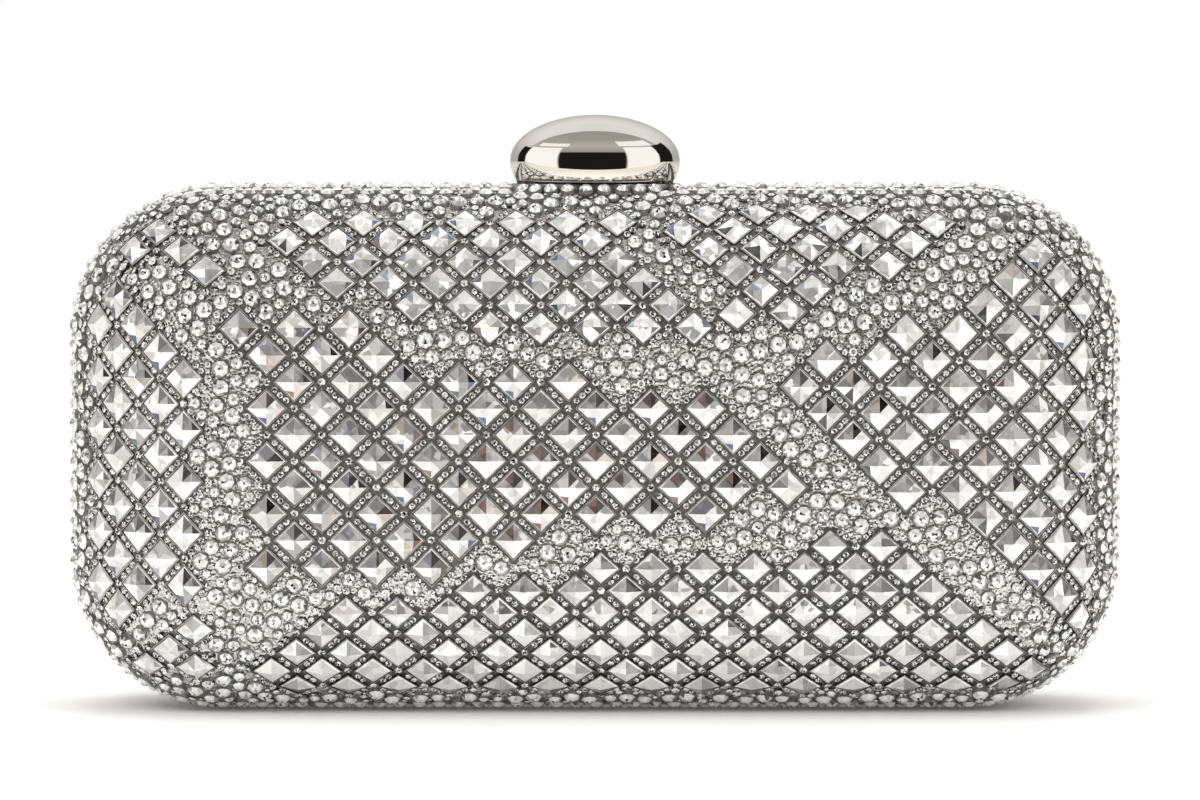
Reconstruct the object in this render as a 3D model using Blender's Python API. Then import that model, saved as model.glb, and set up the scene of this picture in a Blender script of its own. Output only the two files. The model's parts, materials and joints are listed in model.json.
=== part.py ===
"""Crystal-set box clutch: two pillow-shaped half cases, hinged along the bottom and closed by a push clasp.

Metres, +Z up, the front faces -Y. The origin is under the middle of the case, on the surface it stands on.
Every layer of the case is an offset of one skin: a rounded-rectangle outline, a short side wall at the seam,
then an elliptical roll onto a flat face.
"""
import math

import bmesh
import bpy
from mathutils import Vector
from mathutils.geometry import delaunay_2d_cdt

# Case over the stones
CASE_WIDTH = 0.200
CASE_HEIGHT = 0.100
CASE_DEPTH = 0.058
CASE_CORNER_RADIUS = 0.0287
SIDE_WALL_DEPTH = 0.007
ROLL_REACH = 0.031

# Layers of the case
STONE_HEIGHT = 0.0022
GIRDLE_HEIGHT = 0.0012
BED_HEIGHT = 0.0006
SHELL_WALL = 0.0015
LINING_WALL = 0.0008
CLEARANCE = 0.0003

# Mouth frames
SEAM_GAP = 0.0003
RIM_PROUD = 0.0005
GROOVE_INSET = 0.0008
FLANGE_THICKNESS = 0.00155
LIP_INSET = 0.0018
LIP_WALL = 0.001
LIP_DEPTH = 0.007
STONE_SETBACK = 0.0026

# Hinge
HINGE_SPACING = 0.090
KNUCKLE_LENGTH = 0.006
KNUCKLE_RADIUS = 0.0015
KNUCKLE_BORE_RADIUS = 0.00085
PIN_RADIUS = 0.00055
PIN_END_SETBACK = 0.0004
NOTCH_DEPTH = 0.0019

# Stones
STONE_PITCH_WIDE = 0.00955
STONE_PITCH_HIGH = 0.0083
CENTRE_PITCH_WIDE = 0.01027
CENTRE_PITCH_HIGH = 0.0099
SIDE_PITCH_WIDE = 0.0090
SIDE_PITCH_HIGH = 0.0097
CORNER_PITCH_WIDE = 0.0094
CORNER_PITCH_HIGH = 0.0080
RIGHT_PITCH_WIDE = 0.00992
RIGHT_PITCH_HIGH = 0.00987
TOP_RIGHT_TURN_DEGREES = 2.0
BAND_STONE_PITCH = 0.0060
BAND_TIP_SHARE = 0.55
EDGE_STONE_PITCH = 0.0072
EDGE_STRIP_INSET = 0.0014
LEAST_STONE_REACH = 0.0012
FOOT_CUT = 0.0005

# Push clasp
KNOB_WIDTH = 0.0324
KNOB_DEPTH = 0.020
KNOB_CROWN = 0.0086
KNOB_BELLY = 0.0111
KNOB_FOOT_DROP = 0.0045
SEAT_MARGIN = 0.0004
PRESS_TRAVEL = 0.0015
POST_SPACING = 0.018
POST_BACK = 0.0044
POST_RADIUS = 0.0015
POST_SOCKET_DEPTH = 0.004
POST_TAIL_RADIUS = 0.0012
POST_TAIL_PROUD = 0.0015
COLLAR_RADIUS = 0.0024
PLATE_THICKNESS = 0.001
LATCH_THICKNESS = 0.0012
LATCH_FRONT = 0.0004
LATCH_BACK = 0.0069
TOOTH_WIDTH = 0.0044
TOOTH_THICKNESS = 0.001
TOOTH_BACK = 0.0009
TOOTH_RISE = 0.0011
WINDOW_MARGIN = 0.0004
NUT_RADIUS = 0.0022
NUT_THICKNESS = 0.0012
SPRING_RADIUS = 0.0023
SPRING_WIRE_RADIUS = 0.0003
SPRING_LENGTH = 0.0054
CATCH_WIDTH = 0.022
CATCH_TONGUE_WIDTH = 0.009
CATCH_FRONT = 0.0066
CATCH_BACK = 0.0032
BRACKET_ROOM = 0.0012
BRACKET_WALL = 0.0012
BRACKET_FRONT = 0.002
BRACKET_BACK = 0.0068
BRACKET_FLANGE = 0.0055
RIVET_RADIUS = 0.0008
RIVET_HEAD_RADIUS = 0.0017
RIVET_HEAD_HEIGHT = 0.0008
CATCH_RIVET_SPACING = 0.016
CATCH_RIVET_BACK = 0.004
OVERRUN = 0.002

# Facets
CORNER_STEPS = 5
ROLL_STEPS = 5
EDGE_ROWS = 2
ROUND_STEPS = 16
NUT_SIDES = 6
KNOB_STEPS = 24
SEAT_STEPS = 20
KNOB_CROWN_STEPS = 5
KNOB_BELLY_STEPS = 3
SPRING_TURNS = 4
SPRING_POINTS_PER_TURN = 8
SPRING_SIDES = 4
ROLL_SAMPLES = 240
CORNER_SHARE = 0.04
MERGE_DISTANCE = 0.000001

# Worked out from the above
SKIN_HALF_WIDTH = CASE_WIDTH / 2 - STONE_HEIGHT
SKIN_HALF_HEIGHT = CASE_HEIGHT / 2 - STONE_HEIGHT
SKIN_CORNER_RADIUS = CASE_CORNER_RADIUS - STONE_HEIGHT
ROLL_DEPTH = CASE_DEPTH / 2 - STONE_HEIGHT - SIDE_WALL_DEPTH
CASE_CENTRE = CASE_HEIGHT / 2
SKIN_TOP = CASE_HEIGHT - STONE_HEIGHT
LIP_UNDERSIDE = SKIN_TOP - LIP_INSET - LIP_WALL
HINGE_HEIGHT = STONE_HEIGHT + GROOVE_INSET
SHELL_MOUTH = SEAM_GAP / 2 + FLANGE_THICKNESS + CLEARANCE
LINING_MOUTH = LIP_DEPTH + CLEARANCE
KNOB_FOOT = SKIN_TOP + RIM_PROUD + CLEARANCE + PRESS_TRAVEL
KNOB_WAIST = KNOB_FOOT + KNOB_FOOT_DROP
CATCH_TOP = LIP_UNDERSIDE - CLEARANCE
CATCH_UNDERSIDE = CATCH_TOP - PLATE_THICKNESS
LATCH_TOP = CATCH_UNDERSIDE - CLEARANCE
LATCH_UNDERSIDE = LATCH_TOP - LATCH_THICKNESS
NUT_TOP = LATCH_UNDERSIDE - CLEARANCE
NUT_UNDERSIDE = NUT_TOP - NUT_THICKNESS
SPRING_TOP = NUT_UNDERSIDE - CLEARANCE
SPRING_FOOT = SPRING_TOP - SPRING_LENGTH
BRACKET_FLOOR_TOP = SPRING_FOOT - CLEARANCE
BRACKET_UNDERSIDE = BRACKET_FLOOR_TOP - BRACKET_WALL
POST_TAIL_END = BRACKET_UNDERSIDE - POST_TAIL_PROUD
BRACKET_WIDTH = POST_SPACING + 2 * (SPRING_RADIUS + SPRING_WIRE_RADIUS + BRACKET_ROOM + BRACKET_WALL)
LATCH_WIDTH = BRACKET_WIDTH - 2 * BRACKET_WALL - 2 * CLEARANCE

# Square-stone panels: outlines as shares of the skin's half width and half height, and the place where one
# stone of each is centred as shares of the same
CENTRE_OUTLINE_SHARES = (
    (-0.700, 0.420), (-0.700, 0.560), (-0.517, 0.560), (-0.380, 0.397), (-0.283, 0.370), (-0.020, 0.354),
    (0.010, 0.240), (0.244, 0.240), (0.416, -0.147), (0.205, -0.274), (0.049, -0.298), (-0.107, -0.354),
    (-0.244, -0.410), (-0.400, -0.490), (-0.660, -0.500), (-0.655, 0.400))
LEFT_OUTLINE_SHARES = (
    (-1.009, 0.656), (-0.907, 0.656), (-0.833, 0.544), (-0.757, 0.318), (-0.757, -0.480), (-0.868, -0.670),
    (-1.001, -0.664))
RIGHT_OUTLINE_SHARES = (
    (0.360, 0.240), (0.425, 0.440), (0.500, 0.400), (0.578, 0.549), (0.646, 0.509), (0.715, 0.641),
    (0.823, 0.882), (0.872, 0.942), (1.009, 0.822), (1.009, -0.782), (0.970, -0.800), (0.911, -0.649),
    (0.686, -0.220), (0.646, -0.168), (0.578, -0.232), (0.366, 0.196))
TOP_LEFT_OUTLINE_SHARES = (
    (-0.722, 0.990), (-0.500, 0.600), (-0.400, 0.560), (-0.310, 0.500), (-0.070, 0.440), (0.249, 0.441),
    (0.229, 0.533), (0.186, 0.601), (0.127, 0.693), (0.080, 0.782), (0.080, 0.990))
TOP_RIGHT_OUTLINE_SHARES = (
    (0.095, 0.990), (0.095, 0.790), (0.127, 0.720), (0.190, 0.620), (0.250, 0.530), (0.270, 0.477),
    (0.322, 0.477), (0.449, 0.576), (0.722, 0.886), (0.741, 0.990))
BOTTOM_OUTLINE_SHARES = (
    (-0.702, -0.998), (-0.566, -0.650), (-0.420, -0.580), (-0.302, -0.560), (-0.150, -0.470),
    (0.088, -0.400), (0.205, -0.400), (0.400, -0.400), (0.430, -0.300), (0.575, -0.300), (0.663, -0.457),
    (0.849, -0.815), (0.888, -0.974))
UPPER_LEFT_OUTLINE_SHARES = (
    (-1.000, 0.720), (-0.870, 1.000), (-0.815, 0.890), (-0.760, 0.815), (-0.700, 0.760), (-0.715, 0.660),
    (-0.780, 0.690), (-0.800, 0.745), (-0.860, 0.735), (-0.930, 0.700))
LOWER_LEFT_OUTLINE_SHARES = (
    (-0.980, -0.775), (-0.868, -0.727), (-0.761, -0.664), (-0.720, -0.700), (-0.740, -0.850),
    (-0.780, -1.000), (-0.888, -0.990))
SEED_SHARES = {
    "centre": (-0.2606, 0.0743), "left": (-0.9480, 0.0922), "right": (0.3925, 0.2629),
    "top_left": (-0.1524, 0.8843), "top_right": (0.3638, 0.8625), "bottom": (0.3043, -0.4491),
    "upper_left": (-0.793, 0.780), "lower_left": (-0.861, -0.838)}

# Outline, pitches and turn of each panel
PANELS = {
    "centre": (CENTRE_OUTLINE_SHARES, CENTRE_PITCH_WIDE, CENTRE_PITCH_HIGH, 0.0),
    "left": (LEFT_OUTLINE_SHARES, SIDE_PITCH_WIDE, SIDE_PITCH_HIGH, 0.0),
    "right": (RIGHT_OUTLINE_SHARES, RIGHT_PITCH_WIDE, RIGHT_PITCH_HIGH, 0.0),
    "top_left": (TOP_LEFT_OUTLINE_SHARES, STONE_PITCH_WIDE, STONE_PITCH_HIGH, 0.0),
    "top_right": (TOP_RIGHT_OUTLINE_SHARES, STONE_PITCH_WIDE, STONE_PITCH_HIGH, TOP_RIGHT_TURN_DEGREES),
    "bottom": (BOTTOM_OUTLINE_SHARES, STONE_PITCH_WIDE, STONE_PITCH_HIGH, 0.0),
    "upper_left": (UPPER_LEFT_OUTLINE_SHARES, CORNER_PITCH_WIDE, CORNER_PITCH_HIGH, 0.0),
    "lower_left": (LOWER_LEFT_OUTLINE_SHARES, CORNER_PITCH_WIDE, CORNER_PITCH_HIGH, 0.0),
}
FRONT = -1
BACK = 1
UP = Vector((0, 0, 1))


def clear_scene():
    """Remove every object of the scene."""
    for item in list(bpy.data.objects):
        bpy.data.objects.remove(item, do_unlink=True)


def make_material(name, colour, roughness, metallic):
    """Return a plain Principled material."""
    material = bpy.data.materials.new(name)
    material.use_nodes = True
    shader = material.node_tree.nodes["Principled BSDF"]
    shader.inputs["Base Color"].default_value = (*colour, 1.0)
    shader.inputs["Roughness"].default_value = roughness
    shader.inputs["Metallic"].default_value = metallic
    material.diffuse_color = (*colour, 1.0)
    return material


STONE = ((0.86, 0.87, 0.89), 0.05, 0.9)
FRAME_METAL = ((0.62, 0.61, 0.60), 0.22, 1.0)
SHELL_METAL = ((0.45, 0.45, 0.46), 0.4, 1.0)
POLISHED_CHROME = ((0.83, 0.81, 0.79), 0.04, 1.0)
SPRING_STEEL = ((0.56, 0.56, 0.58), 0.3, 1.0)
SATIN_CLOTH = ((0.52, 0.52, 0.54), 0.6, 0.0)


def add_object(name, bm, finish=None, parent=None, smooth=None):
    """Turn a bmesh into a named object with its own material."""
    bmesh.ops.remove_doubles(bm, verts=bm.verts[:], dist=MERGE_DISTANCE)
    bmesh.ops.recalc_face_normals(bm, faces=bm.faces[:])
    mesh = bpy.data.meshes.new(name)
    bm.to_mesh(mesh)
    bm.free()
    item = bpy.data.objects.new(name, mesh)
    bpy.context.scene.collection.objects.link(item)
    if finish:
        mesh.materials.append(make_material(name, *finish))
    if smooth:
        mesh.shade_smooth()
        mesh.set_sharp_from_angle(angle=math.radians(smooth))
    if parent:
        item.parent = parent
        item.matrix_parent_inverse = parent.matrix_world.inverted()
    return item


def cut(item, cutter, operation="DIFFERENCE"):
    """Cut an object with another, which is kept out of the model."""
    cutter.hide_render = True
    cutter.display_type = "WIRE"
    modifier = item.modifiers.new(cutter.name, "BOOLEAN")
    modifier.operation = operation
    modifier.object = cutter


def add_axis(name, place):
    """Add an empty that stands on a joint's axis."""
    empty = bpy.data.objects.new(name, None)
    empty.location = place
    bpy.context.scene.collection.objects.link(empty)
    bpy.context.view_layer.update()
    return empty


def outline(inset, corner_steps, long_steps=1, short_steps=1):
    """Points round the case, inset from the skin, as (x, z) from its centre and the outward direction."""
    radius = max(SKIN_CORNER_RADIUS - inset, SKIN_CORNER_RADIUS * CORNER_SHARE)
    half_wide = SKIN_HALF_WIDTH - inset - radius
    half_high = SKIN_HALF_HEIGHT - inset - radius
    corners = ((1, 1, short_steps), (-1, 1, long_steps), (-1, -1, short_steps), (1, -1, long_steps))
    points = []
    for index, (side_x, side_z, _) in enumerate(corners):
        for step in range(corner_steps + 1):
            angle = math.pi / 2 * (index + step / corner_steps)
            out = Vector((math.cos(angle), math.sin(angle)))
            points.append((Vector((side_x * half_wide, side_z * half_high)) + radius * out, out))
        following = corners[(index + 1) % len(corners)]
        start = points[-1][0]
        end = Vector((following[0] * half_wide, following[1] * half_high)) + radius * points[-1][1]
        for step in range(1, following[2]):
            points.append((start.lerp(end, step / following[2]), points[-1][1]))
    return points


def profile(angle, offset):
    """Inset and depth of a point of the roll, moved out along its normal by offset."""
    normal = Vector((-math.cos(angle) / ROLL_REACH, math.sin(angle) / ROLL_DEPTH)).normalized()
    inset = ROLL_REACH * (1 - math.cos(angle)) + offset * normal.x
    depth = SIDE_WALL_DEPTH + ROLL_DEPTH * math.sin(angle) + offset * normal.y
    return inset, depth


def section(offset, mouth, steps=ROLL_STEPS):
    """Insets and depths of a layer's section, from its mouth to the flat face."""
    points = []
    start = 0.0
    if mouth < SIDE_WALL_DEPTH:
        points.append((-offset, mouth))
    else:
        start = math.asin((mouth - SIDE_WALL_DEPTH) / ROLL_DEPTH)
    for step in range(steps + 1):
        points.append(profile(start + (math.pi / 2 - start) * step / steps, offset))
    return points


def ring(inset, depth, side, corner_steps=CORNER_STEPS):
    """One ring of points round the case at an inset and a depth."""
    return [Vector((point.x, side * depth, CASE_CENTRE + point.y)) for point, _ in
            outline(inset, corner_steps)]


def loft(rings, closed=False):
    """Join rings of points into one closed solid, capped at its ends or turned back on itself."""
    bm = bmesh.new()
    rows = [[bm.verts.new(point) for point in points] for points in rings]
    if closed:
        rows.append(rows[0])
    for low, high in zip(rows, rows[1:]):
        for index in range(len(low)):
            following = (index + 1) % len(low)
            bm.faces.new((low[index], low[following], high[following], high[index]))
    if not closed:
        bm.faces.new(rows[0])
        bm.faces.new(rows[-1])
    return bm


def box(low, high):
    """A box between two corners."""
    bm = bmesh.new()
    bmesh.ops.create_cube(bm, size=1)
    low, high = Vector(low), Vector(high)
    for vert in bm.verts:
        vert.co = (low + high) / 2 + Vector(a * b for a, b in zip(vert.co, high - low))
    return bm


def turned(points, steps=ROUND_STEPS):
    """Turn a profile of (radius, height) points about Z into a closed solid."""
    bm = bmesh.new()
    verts = [bm.verts.new((radius, 0, height)) for radius, height in points]
    edges = [bm.edges.new(pair) for pair in zip(verts, verts[1:])]
    bmesh.ops.spin(bm, geom=verts + edges, cent=(0, 0, 0), axis=(0, 0, 1), angle=math.tau, steps=steps,
                   use_merge=True)
    bmesh.ops.remove_doubles(bm, verts=bm.verts[:], dist=MERGE_DISTANCE)
    return bm


def rod(radius, low, high, steps=ROUND_STEPS):
    """A plain round rod about Z."""
    return turned(((0, low), (radius, low), (radius, high), (0, high)), steps)


def merged(parts):
    """Gather several bmeshes into one, for a cutter with several bodies."""
    whole = bmesh.new()
    for part in parts:
        mesh = bpy.data.meshes.new("part")
        part.to_mesh(mesh)
        part.free()
        whole.from_mesh(mesh)
        bpy.data.meshes.remove(mesh)
    return whole


def moved(bm, offset):
    """Move a bmesh."""
    bmesh.ops.translate(bm, verts=bm.verts[:], vec=offset)
    return bm


def laid_along_x(bm):
    """Turn a bmesh about Z so that it runs along X."""
    for vert in bm.verts:
        vert.co = Vector((vert.co.z, vert.co.x, vert.co.y))
    return bm


def roll_table():
    """Arc lengths of the roll, measured from the flat face, with their insets."""
    rows = [(0.0, ROLL_REACH)]
    before = profile(math.pi / 2, 0.0)
    for step in range(1, ROLL_SAMPLES + 1):
        point = profile(math.pi / 2 * (1 - step / ROLL_SAMPLES), 0.0)
        rows.append((rows[-1][0] + math.dist(before, point), point[0]))
        before = point
    return rows


ROLL_TABLE = roll_table()


def interpolate(value, source, target):
    """Read one column of the roll's table against the other."""
    rows = ROLL_TABLE
    rising = rows[-1][source] > rows[0][source]
    for low, high in zip(rows, rows[1:]):
        if (value <= high[source]) == rising or value == high[source]:
            share = (value - low[source]) / (high[source] - low[source])
            return low[target] + share * (high[target] - low[target])
    return rows[-1][target]


def fold(distance, half):
    """Turn a distance along the skin, from the face's middle, into a distance seen from the front."""
    flat = half - ROLL_REACH
    if abs(distance) <= flat:
        return distance
    inset = interpolate(abs(distance) - flat, 0, 1)
    return math.copysign(half - inset, distance)


def unfold(seen, half):
    """Turn a distance seen from the front into one along the skin."""
    flat = half - ROLL_REACH
    if abs(seen) <= flat:
        return seen
    return math.copysign(flat + interpolate(half - abs(seen), 1, 0), seen)


def inset_of(x, z):
    """How far a point of the face lies inside the outline, and the way out of it."""
    over_x = abs(x) - (SKIN_HALF_WIDTH - SKIN_CORNER_RADIUS)
    over_z = abs(z) - (SKIN_HALF_HEIGHT - SKIN_CORNER_RADIUS)
    if over_x > 0 and over_z > 0:
        reach = math.hypot(over_x, over_z)
        out = Vector((over_x / reach, over_z / reach))
    else:
        reach = max(over_x, over_z)
        out = Vector((1, 0)) if over_x > over_z else Vector((0, 1))
    return SKIN_CORNER_RADIUS - reach, Vector((math.copysign(out.x, x), math.copysign(out.y, z)))


def on_case(x, z, height, side):
    """The point at a height above the skin, over a place of the face seen from the front."""
    inset, out = inset_of(x, z)
    share = 1 - max(0.0, min(inset, ROLL_REACH)) / ROLL_REACH
    moved_inset, depth = profile(math.acos(share), height)
    shift = out * (ROLL_REACH * (1 - share) - moved_inset)
    return Vector((x + shift.x, side * depth, CASE_CENTRE + z + shift.y))


def within(point, polygon):
    """Whether a point lies inside a polygon."""
    inside = False
    for start, end in zip(polygon, polygon[1:] + polygon[:1]):
        if (start[1] > point[1]) != (end[1] > point[1]):
            crossing = start[0] + (point[1] - start[1]) / (end[1] - start[1]) * (end[0] - start[0])
            inside ^= point[0] < crossing
    return inside


def unfolded_shares(shares):
    """Turn shares of the skin's half sizes into places on the unfolded skin."""
    return [(unfold(min(1, max(-1, across)) * SKIN_HALF_WIDTH, SKIN_HALF_WIDTH),
             unfold(min(1, max(-1, up)) * SKIN_HALF_HEIGHT, SKIN_HALF_HEIGHT)) for across, up in shares]


def drawn_onto_face(place, margin=0.0):
    """Pull an unfolded place in, square to the outline, until it lies clear inside the edge strip."""
    x = fold(place.x, SKIN_HALF_WIDTH)
    z = fold(place.y, SKIN_HALF_HEIGHT)
    inset, out = inset_of(x, z)
    short = max(0.0, EDGE_STRIP_INSET + 2 * CLEARANCE + margin - inset)
    if not short:
        return place
    return Vector((unfold(x - out.x * short, SKIN_HALF_WIDTH), unfold(z - out.y * short, SKIN_HALF_HEIGHT)))


def stones_meet(first, second):
    """Whether two stones' outlines lie closer than the clearance on each side."""
    for corners in (first, second):
        for start, end in zip(corners, corners[1:] + corners[:1]):
            out = Vector((end.y - start.y, start.x - end.x)).normalized()
            ours = [out.dot(corner) for corner in first]
            theirs = [out.dot(corner) for corner in second]
            if max(min(ours) - max(theirs), min(theirs) - max(ours)) > 2 * CLEARANCE:
                return False
    return True


def all_panels():
    """The stones of every panel, each one clear of the stones of the panels before it."""
    placed = []
    panels = {}
    for name in PANELS:
        cells = {key: corners for key, corners in panel_cells(name).items()
                 if not any(stones_meet(corners, other) for other in placed)}
        panels[name] = largest_group(without_pinches(cells))
        placed.extend(panels[name].values())
    return panels


def largest_group(cells):
    """The largest set of stones that join edge to edge."""
    groups = []
    left = set(cells)
    while left:
        group = [left.pop()]
        for column, row in group:
            for beside in [(column + i, row + j) for i in (-1, 1) for j in (-1, 1)]:
                if beside in left:
                    left.remove(beside)
                    group.append(beside)
        groups.append(group)
    if not groups:
        return {}
    return {key: cells[key] for key in sorted(max(groups, key=len))}


def panel_cells(name):
    """The square stones of a panel, by their lattice steps, with the four corners of each."""
    shares, wide, high, turn = PANELS[name]
    polygon = unfolded_shares(shares)
    origin = Vector(unfolded_shares((SEED_SHARES[name],))[0])
    angle = math.radians(turn)
    right = Vector((math.cos(angle), math.sin(angle))) * wide / 2
    up = Vector((-math.sin(angle), math.cos(angle))) * high / 2
    reach = int(SKIN_HALF_WIDTH * 3 / high)
    cells = {}
    for row in range(-reach, reach + 1):
        for column in range(-reach, reach + 1):
            centre = origin + column * right + row * up
            on_face = drawn_onto_face(centre, LEAST_STONE_REACH) == centre
            if (row + column) % 2 == 0 and within(centre, polygon) and on_face:
                corners = (centre + right, centre + up, centre - right, centre - up)
                cells[column, row] = [drawn_onto_face(corner) for corner in corners]
    return cells


def without_pinches(cells):
    """Drop stones that meet the rest of their panel only at a corner."""
    changed = True
    while changed:
        changed = False
        for column, row in sorted(cells):
            beside = [(column + i, row + j) in cells for i in (-1, 1) for j in (-1, 1)]
            across = [((column + i, row + j) in cells and not any(
                (column + (i + s * j) // 2, row + (j + s * i) // 2) in cells for s in (-1, 1)))
                for i, j in ((2, 0), (-2, 0), (0, 2), (0, -2))]
            if sum(beside) < 1 or (any(across) and sum(beside) < 3):
                del cells[column, row]
                changed = True
                break
    return cells


def flat_lattice(cells):
    """The panel's stones as joined faces on the unfolded skin, drawn in a little at the border."""
    bm = bmesh.new()
    shared = {}
    for corners in cells.values():
        verts = []
        for corner in corners:
            key = (round(corner.x / CLEARANCE), round(corner.y / CLEARANCE))
            if key not in shared:
                shared[key] = bm.verts.new((corner.x, corner.y, 0))
            verts.append(shared[key])
        bm.faces.new(verts)
    return bm


def border_loops(bm):
    """The closed loops of border vertices of a flat mesh."""
    following = {}
    for edge in bm.edges:
        if edge.is_boundary:
            loop = edge.link_loops[0]
            following[loop.vert] = loop.link_loop_next.vert
    loops = []
    while following:
        start, vert = following.popitem()
        chain = [start]
        while vert != start:
            chain.append(vert)
            vert = following.pop(vert)
        loops.append([vert.co.to_2d() for vert in chain])
    return loops


def draw_in(bm):
    """Move a flat sheet's border in by the clearance, square to each of its edges."""
    moves = {}
    for edge in bm.edges:
        if edge.is_boundary:
            along = (edge.verts[1].co - edge.verts[0].co).normalized()
            inward = edge.link_faces[0].calc_center_median() - edge.verts[0].co
            inward = (inward - inward.dot(along) * along).normalized()
            for vert in edge.verts:
                moves.setdefault(vert, []).append(inward)
    for vert, (first, second) in moves.items():
        vert.co += CLEARANCE * (first + second) / (1 + first.dot(second))


def poke_tips(bm, least_area=0.0):
    """Give the faces of a sheet a stone's tip at their middle, marked in a layer of its own."""
    tip = bm.verts.layers.int.new("tip")
    faces = [face for face in bm.faces if face.calc_area() >= least_area]
    for vert in bmesh.ops.poke(bm, faces=faces)["verts"]:
        vert[tip] = 1
    return tip


def raised_sheet(bm, side, least_area=0.0, plain_back=False):
    """Give a flat sheet its thickness and lay it on the case, with its stones' tips raised."""
    tip = poke_tips(bm, least_area)
    copied = bmesh.ops.extrude_face_region(bm, geom=bm.faces[:])["geom"]
    top = {item for item in copied if isinstance(item, bmesh.types.BMVert)}
    if plain_back:
        bmesh.ops.dissolve_verts(bm, verts=[vert for vert in bm.verts if vert[tip] and vert not in top])
    for vert in bm.verts:
        height = BED_HEIGHT
        if vert in top:
            height = STONE_HEIGHT if vert[tip] else GIRDLE_HEIGHT
        x = fold(vert.co.x, SKIN_HALF_WIDTH)
        z = fold(vert.co.y, SKIN_HALF_HEIGHT)
        vert.co = on_case(x, z, height, side)
    return bm


def stone_panel(name, cells, side, prefix, parent):
    """One panel of square stones."""
    bm = flat_lattice(cells)
    draw_in(bm)
    raised_sheet(bm, side)
    return add_object(f"{prefix}_{name}_stones", bm, STONE, parent)


def edge_steps():
    """Steps of the edge strip round a corner, along a long side and along a short side."""
    lengths = (SKIN_CORNER_RADIUS * math.pi / 2, 2 * (SKIN_HALF_WIDTH - SKIN_CORNER_RADIUS),
               2 * (SKIN_HALF_HEIGHT - SKIN_CORNER_RADIUS))
    return [max(1, round(length / EDGE_STONE_PITCH)) for length in lengths]


def band_border():
    """The outer border of the round-stone bands, on the unfolded skin."""
    corner, long_side, short_side = edge_steps()
    return [Vector((unfold(point.x, SKIN_HALF_WIDTH), unfold(point.y, SKIN_HALF_HEIGHT)))
            for point, _ in outline(EDGE_STRIP_INSET, corner, long_side, short_side)]


def nearest_edge(point, loops):
    """Distance from a point to the nearest border."""
    best = CASE_WIDTH
    for loop in loops:
        for start, end in zip(loop, loop[1:] + loop[:1]):
            along = end - start
            share = max(0.0, min(1.0, (point - start).dot(along) / along.length_squared))
            best = min(best, (point - start - share * along).length)
    return best


def stone_bands(panels, side, prefix, parent):
    """The sheet of round stones that fills the face between the panels."""
    border = band_border()
    holes = []
    for cells in panels.values():
        bm = flat_lattice(cells)
        holes.extend(border_loops(bm))
        bm.free()
    loops = [border] + holes
    points = [point for loop in loops for point in loop]
    edges = []
    start = 0
    for loop in loops:
        edges.extend((start + index, start + (index + 1) % len(loop)) for index in range(len(loop)))
        start += len(loop)
    row_pitch = BAND_STONE_PITCH * math.sqrt(3) / 2
    half_wide = max(point.x for point in border)
    half_high = max(point.y for point in border)
    rows = int(half_high / row_pitch)
    columns = int(half_wide / BAND_STONE_PITCH)
    for row in range(-rows, rows + 1):
        for column in range(-columns, columns + 1):
            point = Vector(((column + row % 2 / 2) * BAND_STONE_PITCH, row * row_pitch))
            clear = nearest_edge(point, loops) > BAND_STONE_PITCH / 2
            if clear and within(point, border) and not any(within(point, hole) for hole in holes):
                points.append(point)
    verts, _, faces, *_ = delaunay_2d_cdt(points, edges, [], 0, MERGE_DISTANCE / 10)
    bm = bmesh.new()
    made = [bm.verts.new((vert.x, vert.y, 0)) for vert in verts]
    for face in faces:
        middle = sum((verts[index] for index in face), Vector((0, 0))) / len(face)
        if within(middle, border) and not any(within(middle, hole) for hole in holes):
            bm.faces.new([made[index] for index in face])
    bmesh.ops.delete(bm, geom=[vert for vert in bm.verts if not vert.link_faces], context="VERTS")
    regular_area = row_pitch * BAND_STONE_PITCH / 2
    raised_sheet(bm, side, BAND_TIP_SHARE * regular_area, plain_back=True)
    return add_object(f"{prefix}_band_stones", bm, STONE, parent)


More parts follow.
